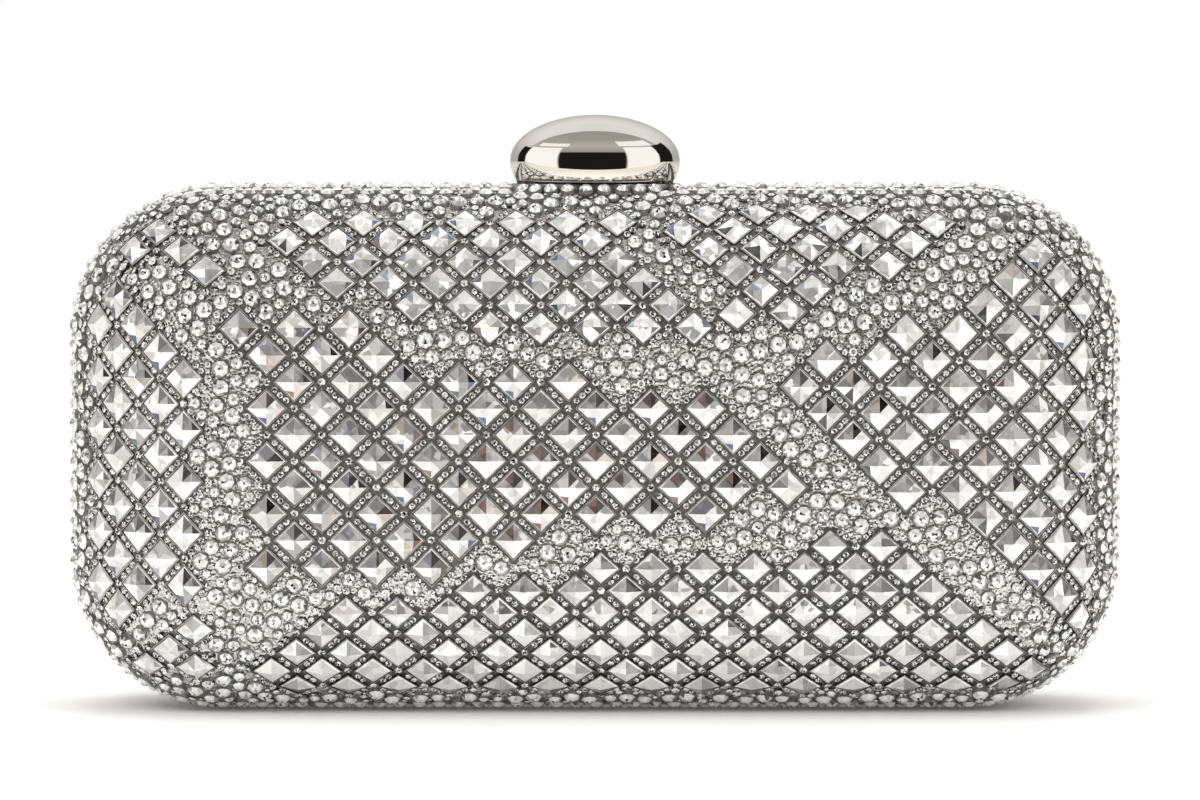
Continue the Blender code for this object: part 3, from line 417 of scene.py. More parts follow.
@dataclass(frozen=True)
class PanelPlan:
    """Where every square stone goes: the lattice cells of each panel, on the unfolded skin."""

    form: CaseForm
    edge_inset: float = 0.0020
    least_reach: float = 0.0012
    clearance: float = 0.0003
    least_area_share: float = 0.62
    lattice_spans: int = 3

    def unfolded(self, shares: Iterable[tuple[float, float]]) -> list[Vector]:
        """Turn shares of the skin's half sizes into places of the unfolded skin.

        Args:
            shares: pairs of shares, across and up.

        Returns:
            The places.
        """
        wide, high = self.form.half_width, self.form.half_height
        return [Vector(self.form.unfolded(min(1, max(-1, across)) * wide, min(1, max(-1, up)) * high))
                for across, up in shares]

    def drawn_in(self, place: Vector, margin: float = 0.0) -> Vector:
        """Pull a place in, square to the outline, until it lies clear of the edge rows.

        Args:
            place: a place of the unfolded skin.
            margin: how much further in it has to lie.

        Returns:
            The place, moved if it had to be.
        """
        x, z = self.form.folded(place)
        inset, out = self.form.inset_of(x, z)
        short = max(0.0, self.edge_inset + margin - inset)
        if not short:
            return place
        return Vector(self.form.unfolded(x - out.x * short, z - out.y * short))

    @staticmethod
    def within(point: Vector, polygon: Sequence[Vector]) -> bool:
        """Tell whether a point lies inside a polygon.

        Args:
            point: the point.
            polygon: the polygon's corners.

        Returns:
            Whether it does.
        """
        inside = False
        for start, end in sides(polygon):
            if (start.y > point.y) != (end.y > point.y):
                crossing = start.x + (point.y - start.y) / (end.y - start.y) * (end.x - start.x)
                inside ^= point.x < crossing
        return inside

    def meet(self, first: Cell, second: Cell) -> bool:
        """Tell whether two cells lie closer than twice the clearance.

        Args:
            first: the corners of one.
            second: the corners of the other.

        Returns:
            Whether they do.
        """
        for corners in (first, second):
            for start, end in sides(corners):
                out = Vector((end.y - start.y, start.x - end.x)).normalized()
                ours = [out.dot(corner) for corner in first]
                theirs = [out.dot(corner) for corner in second]
                if max(min(ours) - max(theirs), min(theirs) - max(ours)) > 2 * self.clearance:
                    return False
        return True

    def raw_cells(self, panel: Panel) -> Cells:
        """Lay a panel's lattice over its outline.

        Args:
            panel: the panel.

        Returns:
            The corners of each cell, by its column and row.
        """
        polygon = self.unfolded(panel.outline_shares)
        origin = self.unfolded((panel.seed_share,))[0]
        turn = Matrix.Rotation(math.radians(panel.turn_degrees), 2)
        right = turn @ Vector((panel.wide / 2, 0))
        up = turn @ Vector((0, panel.high / 2))
        reach = int(self.form.half_width * self.lattice_spans / panel.high)
        regular = panel.wide * panel.high / 2
        cells = {}
        for row in range(-reach, reach + 1):
            for column in range(-reach, reach + 1):
                centre = origin + column * right + row * up
                if (row + column) % 2 or not self.within(centre, polygon):
                    continue
                if self.drawn_in(centre, self.least_reach) != centre:
                    continue
                corners = [self.drawn_in(centre + step) for step in (right, up, -right, -up)]
                tall = (corners[1] - corners[3]).length * (corners[0] - corners[2]).length / 2
                if tall > self.least_area_share * regular:
                    cells[column, row] = corners
        return cells

    @cached_property
    def cells(self) -> dict[str, Cells]:
        """Lay out every panel.

        Returns:
            The cells by panel, each one clear of the panels before it.
        """
        placed: list[Cell] = []
        plan = {}
        for panel in PANELS:
            kept = {key: corners for key, corners in self.raw_cells(panel).items()
                    if not any(self.meet(corners, other) for other in placed)}
            plan[panel.name] = kept
            placed.extend(kept.values())
        return plan

    @cached_property
    def _edges(self) -> tuple[np.ndarray, np.ndarray]:
        """Gather the sides of every cell.

        Returns:
            Their starts and their ends, cell by cell.
        """
        corners = np.array([[tuple(corner) for corner in cell] for cells in self.cells.values()
                            for cell in cells.values()])
        return corners, np.roll(corners, -1, axis=1)

    def distance(self, place: Vector) -> float:
        """Measure how far a place lies from the nearest square stone's cell.

        Args:
            place: a place of the unfolded skin.

        Returns:
            The distance, or -1 inside a cell.
        """
        starts, ends = self._edges
        along = ends - starts
        to = np.array((place.x, place.y)) - starts
        turned = along[..., 0] * to[..., 1] - along[..., 1] * to[..., 0]
        if np.any(np.all(turned > 0, axis=1)):
            return -1.0
        share = np.clip((to * along).sum(-1) / (along ** 2).sum(-1), 0, 1)
        return float(np.sqrt((((to - share[..., None] * along) ** 2).sum(-1)).min()))


class NodeGraph:
    """A short way to wire a shader."""

    def __init__(self, tree: bpy.types.NodeTree) -> None:
        """Start on a node tree."""
        self.tree = tree

    def node(self, kind: str, values: dict | None = None, links: dict | None = None) -> bpy.types.Node:
        """Add a node.

        Args:
            kind: the node's type.
            values: settings and input values, by name.
            links: input sockets, by name or number, and the outputs that feed them.

        Returns:
            The node.
        """
        made = self.tree.nodes.new(kind)
        for name, value in (values or {}).items():
            if hasattr(made, str(name)):
                setattr(made, name, value)
            else:
                made.inputs[name].default_value = value
        self.feed(made, links or {})
        return made

    def feed(self, node: bpy.types.Node, links: dict[str | int, Socket]) -> None:
        """Link outputs to the inputs of a node, by the inputs' names or numbers."""
        for name, source in links.items():
            self.tree.links.new(node.inputs[name], source)

    def math(self, operation: str, first: Feed, second: Feed = 0.0, third: Feed = 0.0) -> Socket:
        """Add a Math node.

        Args:
            operation: what it does.
            first: its first input, a number or a socket.
            second: its second input.
            third: its third input.

        Returns:
            The result's socket.
        """
        made = self.tree.nodes.new("ShaderNodeMath")
        made.operation = operation
        for socket, value in zip(made.inputs, (first, second, third)):
            if isinstance(value, (int, float)):
                socket.default_value = value
            else:
                self.tree.links.new(socket, value)
        return made.outputs[0]

    def vector(self, operation: str, links: dict[int, Socket], values: dict | None = None) -> Socket:
        """Return the result of a Vector Math node with these links and values."""
        return self.node("ShaderNodeVectorMath", {"operation": operation, **(values or {})}, links).outputs[0]

    def mix(self, factor: Feed, first: Feed, second: Feed, blend: str = "MIX") -> Socket:
        """Mix two colours.

        Args:
            factor: how much of the second, a number or a socket.
            first: the first colour.
            second: the second colour.
            blend: the way that they mix.

        Returns:
            The mixed colour's socket.
        """
        made = self.tree.nodes.new("ShaderNodeMix")
        made.data_type = "RGBA"
        made.blend_type = blend
        for index, value in zip(COLOUR_MIX_INPUTS, (factor, first, second)):
            if isinstance(value, tuple):
                made.inputs[index].default_value = (*value, 1.0)
            elif isinstance(value, (int, float)):
                made.inputs[index].default_value = value
            else:
                self.feed(made, {index: value})
        return made.outputs[COLOUR_MIX_OUTPUT]

    def ramp(self, source: Socket, stops: Sequence[tuple[float, Colour]]) -> Socket:
        """Turn a value into a colour.

        Args:
            source: the value.
            stops: places and colours.

        Returns:
            The colour's socket.
        """
        made = self.tree.nodes.new("ShaderNodeValToRGB")
        elements = made.color_ramp.elements
        while len(elements) < len(stops):
            elements.new(1.0)
        for element, (place, colour) in zip(elements, stops):
            element.position = place
            element.color = (*colour, 1.0)
        self.feed(made, {0: source})
        return made.outputs[0]

    def place(self, stretch: Colour | None = None) -> Socket:
        """Find the place on the object.

        Args:
            stretch: how much the place is stretched along each axis.

        Returns:
            The place's socket.
        """
        place = self.node("ShaderNodeTexCoord").outputs["Object"]
        if stretch is None:
            return place
        return self.node("ShaderNodeMapping", {"Scale": stretch}, {"Vector": place}).outputs["Vector"]

    def noise(self, scale: float, detail: float, place: Socket) -> Socket:
        """Return a value of soft noise."""
        made = self.node("ShaderNodeTexNoise", {"Scale": scale, "Detail": detail}, {"Vector": place})
        return made.outputs["Fac"]

    def tinted(self, shade: Socket) -> Socket:
        """Return the colour of the faces' tint, darkened by a shade."""
        tint = self.node("ShaderNodeAttribute", {"attribute_name": TINT})
        return self.mix(1.0, tint.outputs["Color"], shade, "MULTIPLY")

    def bump(self, height: Socket, strength: float, distance: float, invert: bool = False,
             normal: Socket | None = None) -> Socket:
        """Raise the surface.

        Args:
            height: how much, from 0 to 1.
            strength: how strongly the raised surface shows.
            distance: how high a height of 1 is.
            invert: whether the surface sinks instead.
            normal: the normal that is bent, if it isn't the surface's own.

        Returns:
            The bent normal's socket.
        """
        links = {"Height": height} if normal is None else {"Height": height, "Normal": normal}
        values = {"Strength": strength, "Distance": distance, "invert": invert}
        return self.node("ShaderNodeBump", values, links).outputs["Normal"]


@dataclass(frozen=True)
class Finish:
    """A procedural Principled material."""

    name: str

    def make(self) -> bpy.types.Material:
        """Make the material.

        Returns:
            The material.
        """
        material = bpy.data.materials.new(self.name)
        material.use_nodes = True
        shader = material.node_tree.nodes["Principled BSDF"]
        for name, value in self.inputs(NodeGraph(material.node_tree)).items():
            if isinstance(value, Socket):
                material.node_tree.links.new(shader.inputs[name], value)
            else:
                shader.inputs[name].default_value = value
        return material

    def inputs(self, graph: NodeGraph) -> dict[str, Feed]:
        """Say what the shader's inputs are, as numbers or as outputs of nodes wired in the graph."""
        raise NotImplementedError


@dataclass(frozen=True)
class CrystalFinish(Finish):
    """Foil-backed crystal: bright painted reflections in its faces' tints, broken up by the facets behind."""

    roughness: float = 0.07
    metallic: float = 0.62
    foil_scale: float = 260.0
    foil_detail: float = 2.0
    shard_scale: float = 620.0
    shard_shade: float = 0.80
    shard_share: float = 0.36
    shard_edge: float = 0.02
    shard_tilt: float = 0.10

    def inputs(self, graph: NodeGraph) -> dict[str, Feed]:
        """Wire the finish.

        Args:
            graph: the material's graph.

        Returns:
            The shader's inputs.
        """
        place = graph.place()
        foil = graph.noise(self.foil_scale, self.foil_detail, place)
        cells = graph.node("ShaderNodeTexVoronoi", {"Scale": self.shard_scale}, {"Vector": place})
        shards = cells.outputs["Color"]
        # The darker fragments are painted reflections of the facets behind, and the same fragments tilt the
        # normal.
        shade = graph.ramp(shards, ((self.shard_share, (self.shard_shade,) * 3),
                                    (self.shard_share + self.shard_edge, WHITE)))
        centred = graph.vector("SUBTRACT", {0: shards}, {1: (0.5, 0.5, 0.5)})
        lean = graph.vector("SCALE", {0: centred}, {"Scale": self.shard_tilt})
        facing = graph.node("ShaderNodeNewGeometry").outputs["Normal"]
        return {"Metallic": self.metallic, "Base Color": graph.tinted(shade),
                "Roughness": graph.math("MULTIPLY_ADD", foil, self.roughness, self.roughness / 2),
                "Normal": graph.vector("NORMALIZE", {0: graph.vector("ADD", {0: lean, 1: facing})})}


@dataclass(frozen=True)
class TintedMetalFinish(Finish):
    """Plated metal with a fine cast grain, tinted with painted shade in recesses and painted light on edges.
    """

    roughness: float = 0.42
    metallic: float = 0.45
    grain_scale: float = 1400.0
    grain_detail: float = 3.0
    grain_range: tuple[float, float] = (0.35, 0.65)
    grain_shade: Colour = (0.45, 0.44, 0.43)
    grain_height: float = 0.00015
    grain_strength: float = 0.6

    def inputs(self, graph: NodeGraph) -> dict[str, Feed]:
        """Wire the finish.

        Args:
            graph: the material's graph.

        Returns:
            The shader's inputs.
        """
        grain = graph.noise(self.grain_scale, self.grain_detail, graph.place())
        shade = graph.ramp(grain, tuple(zip(self.grain_range, (self.grain_shade, WHITE))))
        return {"Metallic": self.metallic, "Roughness": self.roughness, "Base Color": graph.tinted(shade),
                "Normal": graph.bump(grain, self.grain_strength, self.grain_height)}


@dataclass(frozen=True)
class BeadedFoilFinish(Finish):
    """The bright mesh foil under the round stones, pressed into tiny beads, darker between them as painted
    shade.
    """

    roughness: float = 0.26
    low: Colour = (0.64, 0.625, 0.60)
    high: Colour = (1.0, 0.98, 0.95)
    bead_scale: float = 1300.0
    bead_range: tuple[float, float] = (0.15, 0.55)
    bead_height: float = 0.0003
    bead_strength: float = 0.8

    def inputs(self, graph: NodeGraph) -> dict[str, Feed]:
        """Wire the finish.

        Args:
            graph: the material's graph.

        Returns:
            The shader's inputs.
        """
        cells = graph.node("ShaderNodeTexVoronoi", {"Scale": self.bead_scale}, {"Vector": graph.place()})
        beads = cells.outputs["Distance"]
        # Lighter in the middle of each bead and darker between them, as painted shade.
        return {"Metallic": 1.0, "Roughness": self.roughness,
                "Base Color": graph.ramp(beads, tuple(zip(self.bead_range, (self.high, self.low)))),
                "Normal": graph.bump(beads, self.bead_strength, self.bead_height, invert=True)}


@dataclass(frozen=True)
class PolishedFinish(Finish):
    """Polished or satin metal with faint handling marks."""

    colour: Colour
    roughness: float
    mark_scale: float = 60.0
    mark_detail: float = 5.0
    mark_range: tuple[float, float] = (0.3, 0.7)
    mark_shade: float = 0.93
    mark_share: float = 0.35
    stretch: tuple[float, float, float] = (1.0, 1.0, 1.0)

    def inputs(self, graph: NodeGraph) -> dict[str, Feed]:
        """Wire the finish.

        Args:
            graph: the material's graph.

        Returns:
            The shader's inputs.
        """
        marks = graph.noise(self.mark_scale, self.mark_detail, graph.place(self.stretch))
        low = tuple(channel * self.mark_shade for channel in self.colour)
        return {"Metallic": 1.0,
                "Base Color": graph.ramp(marks, tuple(zip(self.mark_range, (low, self.colour)))),
                "Roughness": graph.math("MULTIPLY_ADD", marks, self.roughness * self.mark_share * 2,
                                        self.roughness * (1 - self.mark_share))}


NICKEL = PolishedFinish("rim_nickel", (0.66, 0.65, 0.63), 0.27)


@dataclass(frozen=True)
class SatinFinish(Finish):
    """Grey satin: fine threads along one way, and soft wrinkles."""

    roughness: float = 0.38
    sheen: float = 0.4
    dark: Colour = (0.285, 0.28, 0.28)
    light: Colour = (0.345, 0.34, 0.34)
    shade_range: tuple[float, float] = (0.3, 0.7)
    thread_scale: float = 1500.0
    thread_detail: float = 2.0
    thread_stretch: tuple[float, float, float] = (0.2, 1.0, 1.0)
    thread_height: float = 0.00006
    thread_strength: float = 0.25
    wrinkle_scale: float = 55.0
    wrinkle_detail: float = 1.0
    wrinkle_stretch: tuple[float, float, float] = (0.5, 1.0, 1.3)
    wrinkle_height: float = 0.0012
    wrinkle_strength: float = 0.35

    def inputs(self, graph: NodeGraph) -> dict[str, Feed]:
        """Wire the finish.

        Args:
            graph: the material's graph.

        Returns:
            The shader's inputs.
        """
        threads = graph.noise(self.thread_scale, self.thread_detail, graph.place(self.thread_stretch))
        wrinkles = graph.noise(self.wrinkle_scale, self.wrinkle_detail, graph.place(self.wrinkle_stretch))
        soft = graph.bump(wrinkles, self.wrinkle_strength, self.wrinkle_height)
        return {"Metallic": 0.0, "Roughness": self.roughness, "Sheen Weight": self.sheen,
                "Base Color": graph.ramp(threads, tuple(zip(self.shade_range, (self.dark, self.light)))),
                "Normal": graph.bump(threads, self.thread_strength, self.thread_height, normal=soft)}


def as_mesh(name: str, shape: bmesh.types.BMesh) -> bpy.types.Mesh:
    """Turn a shape into a mesh, with its faces pointing out.

    Args:
        name: the mesh's name.
        shape: the shape, which is freed.

    Returns:
        The mesh.
    """
    bmesh.ops.recalc_face_normals(shape, faces=shape.faces[:])
    mesh = bpy.data.meshes.new(name)
    shape.to_mesh(mesh)
    shape.free()
    return mesh


@dataclass(frozen=True)
class FloorFinish(Finish):
    """Plain white, glowing more with the distance, and darker and warmer far away where mirrors show it."""

    shade: Colour = (0.84, 0.84, 0.84)
    near: tuple[float, Colour] = (0.14, (0.77, 0.76, 0.745))
    far: tuple[float, Colour] = (0.30, (0.60, 0.555, 0.49))
    glow_start: float = 0.12
    glow_end: float = 0.7
    least_glow: float = 0.03
    most_glow: float = 0.3
    mirrored_glow: float = 0.13
    roughness: float = 0.9

    def inputs(self, graph: NodeGraph) -> dict[str, Feed]:
        """Wire the finish.

        Args:
            graph: the material's graph.

        Returns:
            The shader's inputs.
        """
        rays = graph.node("ShaderNodeLightPath").outputs
        length = graph.node("ShaderNodeVectorMath", {"operation": "LENGTH"}, {0: graph.place()})
        away = length.outputs["Value"]
        glow = graph.node("ShaderNodeMapRange", {
            "From Min": self.glow_start, "From Max": self.glow_end, "To Min": self.least_glow,
            "To Max": self.most_glow}, {"Value": away})
        seen = graph.math("MULTIPLY", rays["Is Camera Ray"], glow.outputs["Result"])
        glossy = rays["Is Glossy Ray"]
        return {"Metallic": 0.0, "Roughness": self.roughness, "Specular IOR Level": 0.0,
                "Emission Color": (*WHITE, 1.0),
                "Base Color": graph.mix(glossy, self.shade, graph.ramp(away, (self.near, self.far))),
                "Emission Strength": graph.math("MULTIPLY_ADD", glossy, self.mirrored_glow, seen)}


class Bench:
    """Turns meshes into pieces that ride with the frame."""

    def __init__(self) -> None:
        """Start with no materials made."""
        self.materials: dict[str, bpy.types.Material] = {}

    def material(self, finish: Finish) -> bpy.types.Material:
        """Find a finish's material, and make it the first time.

        Args:
            finish: the finish.

        Returns:
            The material.
        """
        if finish.name not in self.materials:
            self.materials[finish.name] = finish.make()
        return self.materials[finish.name]

    def piece(self, name: str, shape: bmesh.types.BMesh, finish: Finish, body: str, slot: Slot,
              nodes: Sequence[str] = (), smooth: float = 0.0) -> None:
        """Make a piece.

        Args:
            name: its name.
            shape: its mesh.
            finish: its finish.
            body: the body that it rides with.
            slot: the record's slot that it is meant for; not used.
            nodes: the frame's nodes that it replaces.
            smooth: the angle in degrees under which edges are smooth, or 0 for flat faces.
        """
        mesh = as_mesh(name, shape)
        mesh.materials.append(self.material(finish))
        if smooth:
            mesh.shade_smooth()
            mesh.set_sharp_from_angle(angle=math.radians(smooth))
        item = bpy.data.objects.new(name, mesh)
        bpy.context.scene.collection.objects.link(item)
        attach(item, body)
        if nodes:
            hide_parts(*nodes)
        LOG.info("%s: %d faces", name, len(mesh.polygons))

    def half_piece(self, side: Side, name: str, shape: bmesh.types.BMesh, finish: Finish, slot: Slot,
                   node: str = "", smooth: float = 0.0) -> None:
        """Make a piece of one half, whose name starts with the half's own.

        Args:
            side: the half that it rides with.
            name: the rest of its name.
            shape: its mesh.
            finish: its finish.
            slot: as for any piece.
            node: the rest of the name of the node that it replaces, if any.
            smooth: as for any piece.
        """
        nodes = [f"{side.prefix}_{node}"] if node else []
        self.piece(f"{side.prefix}_{name}", shape, finish, side.body, slot, nodes, smooth)


def only(items: Iterable[object], kind: type) -> list:
    """Return the items of one kind, such as the new faces among all that an operator made."""
    return [item for item in items if isinstance(item, kind)]


def paint(faces: Iterable[bmesh.types.BMFace], tint: bmesh.types.BMLayerItem, colour: Colour) -> None:
    """Give faces one tint."""
    for face in faces:
        face[tint] = (*colour, 1.0)


def grid_key(place: Vector, grid: float) -> tuple[int, int]:
    """Return the box of a flat grid that a place is in."""
    return round(place.x / grid), round(place.y / grid)


def extrude_up(bm: bmesh.types.BMesh, height: float) -> list[bmesh.types.BMFace]:
    """Extrude all faces of a flat mesh straight up.

    Args:
        bm: the mesh.
        height: how far.

    Returns:
        The faces on top.
    """
    made = bmesh.ops.extrude_face_region(bm, geom=bm.faces[:])["geom"]
    bmesh.ops.translate(bm, vec=(0, 0, height), verts=only(made, bmesh.types.BMVert))
    return only(made, bmesh.types.BMFace)


def inset_each(bm: bmesh.types.BMesh, faces: Sequence[bmesh.types.BMFace], thickness: float,
               depth: float = 0.0) -> list[bmesh.types.BMFace]:
    """Inset faces one by one.

    Args:
        bm: the mesh.
        faces: the faces.
        thickness: how far in.
        depth: how far out of the face.

    Returns:
        The faces of the rings round them.
    """
    bm.normal_update()
    return bmesh.ops.inset_individual(bm, faces=faces, thickness=thickness, depth=depth,
                                      use_even_offset=True)["faces"]


@dataclass(frozen=True)
class FacetShades:
    """The painted reflections and painted shade that foil-backed crystal shows from facet to facet."""

    white: Colour = (1.0, 0.985, 0.965)
    light: Colour = (0.76, 0.745, 0.73)
    silver: Colour = (0.46, 0.45, 0.44)
    slate: Colour = (0.14, 0.138, 0.14)
    ink: Colour = (0.022, 0.021, 0.021)
    blush: Colour = (0.33, 0.21, 0.19)
    peach: Colour = (0.68, 0.58, 0.51)
    rust: Colour = (0.25, 0.16, 0.12)
    blue: Colour = (0.16, 0.205, 0.33)
    sky: Colour = (0.44, 0.51, 0.63)
    lilac: Colour = (0.50, 0.47, 0.56)
    plum: Colour = (0.20, 0.15, 0.30)
    least_light: float = 0.88
    most_light: float = 1.08

    def pick(self, rng: random.Random, weights: Weights) -> Colour:
        """Choose a shade.

        Args:
            rng: the source of chance.
            weights: how likely each shade is, by name.

        Returns:
            The colour, varied a little.
        """
        name = rng.choices(list(weights), list(weights.values()))[0]
        light = rng.uniform(self.least_light, self.most_light)
        return tuple(min(1.0, channel * light) for channel in getattr(self, name))


SHADES = FacetShades()


class Mark(IntEnum):
    """The kinds of vertices of a square crystal, of which a cut is where a corner's crease is cut off."""

    CORNER = 0
    MIDDLE = 1
    TIP = 2
    CUT = 3


@dataclass(frozen=True)
class SquareCrystals:
    """The square crystals of a panel: pyramids of eight facets with a bevelled edge and cut corners."""

    foot: float = 0.0009
    girdle: float = 0.0013
    shoulder: float = 0.0015
    tip: float = 0.0023
    bevel: float = 0.00022
    seat_gap: float = -0.00002
    cut_share: float = 0.56
    ridge: float = 0.00007
    tilt: float = 0.035
    wall_rise: float = 0.3
    bevel_weights: Weights = field(default_factory=lambda: {"white": 3, "light": 1})

    def flat(self, panel: Panel, cells: Cells, rng: random.Random) -> bmesh.types.BMesh:
        """Model a panel's crystals on the unfolded skin.

        Args:
            panel: the panel.
            cells: its lattice cells.
            rng: the source of chance for the tilts and shades.

        Returns:
            The crystals, with their tints.
        """
        bm = bmesh.new()
        kind = bm.verts.layers.int.new("kind")
        tint = bm.faces.layers.float_color.new(TINT)
        for corners in cells.values():
            bm.faces.new([bm.verts.new((corner.x, corner.y, self.foot)) for corner in corners])
        rings = inset_each(bm, bm.faces[:], panel.channel + self.seat_gap)
        bmesh.ops.delete(bm, geom=rings, context="FACES")
        tops = extrude_up(bm, self.girdle - self.foot)
        # The bevel round each stone's top is painted light, as a painted highlight.
        for face in inset_each(bm, tops, self.bevel, self.shoulder - self.girdle):
            paint([face], tint, SHADES.pick(rng, self.bevel_weights))
        bm.normal_update()
        # The steep sides are painted slate, as painted shade.
        paint([face for face in bm.faces if abs(face.normal.z) < self.wall_rise], tint, SHADES.slate)
        edges = list(dict.fromkeys(edge for face in tops for edge in face.edges))
        split = bmesh.ops.bisect_edges(bm, edges=edges, cuts=1)["geom_split"]
        for vert in only(split, bmesh.types.BMVert):
            vert[kind] = Mark.MIDDLE
        tips = bmesh.ops.poke(bm, faces=tops)["verts"]
        centres = KDTree(len(tips))
        creases = []
        for index, vert in enumerate(tips):
            vert[kind] = Mark.TIP
            vert.co.z = self.tip
            centres.insert(vert.co.to_2d().to_3d(), index)
            creases.extend(edge for edge in vert.link_edges if edge.other_vert(vert)[kind] == Mark.CORNER)
        centres.balance()
        places = [vert.co.copy() for vert in tips]
        split = bmesh.ops.subdivide_edges(bm, edges=creases, cuts=1)["geom_split"]
        for vert in only(split, bmesh.types.BMVert):
            vert[kind] = Mark.CUT
        self.shape_facets(bm, kind, centres, places, panel)
        self.shade(bm, kind, tint, centres, panel, rng)
        self.tilt_stones(bm, centres, places, rng)
        return bm

    def shape_facets(self, bm: bmesh.types.BMesh, kind: bmesh.types.BMLayerItem, centres: KDTree,
                     tips: list[Vector], panel: Panel) -> None:
        """Place the cuts, raise the edges' middles into ridges, and split the facets at the cuts.

        Args:
            bm: the crystals.
            kind: the layer of the vertices' kinds.
            centres: the stones' places, to look up.
            tips: the stones' tips.
            panel: their panel.
        """
        for vert in bm.verts:
            tip = tips[centres.find(vert.co.to_2d().to_3d())[1]]
            if vert[kind] == Mark.CUT:
                vert.co = tip.lerp(tip + (vert.co - tip) * 2, self.cut_share)
            elif vert[kind] == Mark.MIDDLE and not mood_of(panel, tip).plain:
                vert.co.z += self.ridge
        crown = [face for face in bm.faces if any(vert[kind] == Mark.CUT for vert in face.verts)]
        bmesh.ops.triangulate(bm, faces=crown, quad_method="BEAUTY")

    def shade(self, bm: bmesh.types.BMesh, kind: bmesh.types.BMLayerItem, tint: bmesh.types.BMLayerItem,
              centres: KDTree, panel: Panel, rng: random.Random) -> None:
        """Give every crown facet its painted reflection or painted shade, by the way that it faces.

        Args:
            bm: the crystals.
            kind: the layer of the vertices' kinds.
            tint: the layer of the faces' tints.
            centres: the stones' places, to look up.
            panel: their panel.
            rng: the source of chance.
        """
        shades: dict[tuple[int, int], Colour] = {}
        blank: dict[int, bool] = {}
        for face in bm.faces:
            kinds = {vert[kind] for vert in face.verts}
            if not kinds & {Mark.TIP, Mark.CUT}:
                continue
            middle = face.calc_center_median()
            place, index, _ = centres.find(middle.to_2d().to_3d())
            turn = math.degrees(math.atan2(middle.y - place.y, middle.x - place.x)) % 360
            octant = int(turn // OCTANT_DEGREES)
            mood = mood_of(panel, place)
            if index not in blank:
                blank[index] = rng.random() < mood.blank_share
            key = (index, octant // 2 if mood.plain else octant)
            if key not in shades:
                shades[key] = SHADES.white if blank[index] else mood.facet(octant, rng)
            colour = shades[key]
            if Mark.TIP not in kinds and not blank[index]:
                colour = mood.patch(octant, rng) or colour
            paint([face], tint, colour)

    def tilt_stones(self, bm: bmesh.types.BMesh, centres: KDTree, tips: list[Vector],
                    rng: random.Random) -> None:
        """Tip each stone a little in its seat.

        Args:
            bm: the crystals.
            centres: the stones' places, to look up.
            tips: the stones' tips.
            rng: the source of chance.
        """
        tilts = [(rng.gauss(0, self.tilt), rng.gauss(0, self.tilt)) for _ in tips]
        for vert in bm.verts:
            if vert.co.z > (self.foot + self.girdle) / 2:
                place, index, _ = centres.find(vert.co.to_2d().to_3d())
                lean = tilts[index]
                vert.co.z += lean[0] * (vert.co.x - place.x) + lean[1] * (vert.co.y - place.y)


@dataclass(frozen=True)
class PanelMood:
    """How the facets of a panel's stones are shaded, by the way that they lie from a stone's middle.

    The shades are painted reflections and painted shade. Some facets show another shade in the patch that is
    cut off at the corner, and blank stones are all painted white. Plain stones have four facets without
    ridges. The channels round the stones are darkened by a share, as painted shade.
    """

    right: Weights
    top_right: Weights
    top_left: Weights
    left: Weights
    low_left: Weights
    low_right: Weights
    patches: dict[int, Weights] = field(default_factory=dict)
    patch_share: float = 0.5
    blank_share: float = 0.0
    plain: bool = False
    channel_shade: float = 1.0

    def facet(self, octant: int, rng: random.Random) -> Colour:
        """Shade one of a stone's eight facets.

        Args:
            octant: which one, counted from the right, the way the sun goes backwards.
            rng: the source of chance.

        Returns:
            Its colour.
        """
        weights = (self.right, self.top_right, self.top_left, self.left, self.low_left, self.low_left,
                   self.low_right, self.low_right)[octant]
        return SHADES.pick(rng, weights)

    def patch(self, octant: int, rng: random.Random) -> Colour | None:
        """Shade the cut-off end of a facet.

        Args:
            octant: which facet.
            rng: the source of chance.

        Returns:
            Its colour, or nothing where it looks like the rest of the facet.
        """
        if octant not in self.patches or rng.random() > self.patch_share:
            return None
        return SHADES.pick(rng, self.patches[octant])
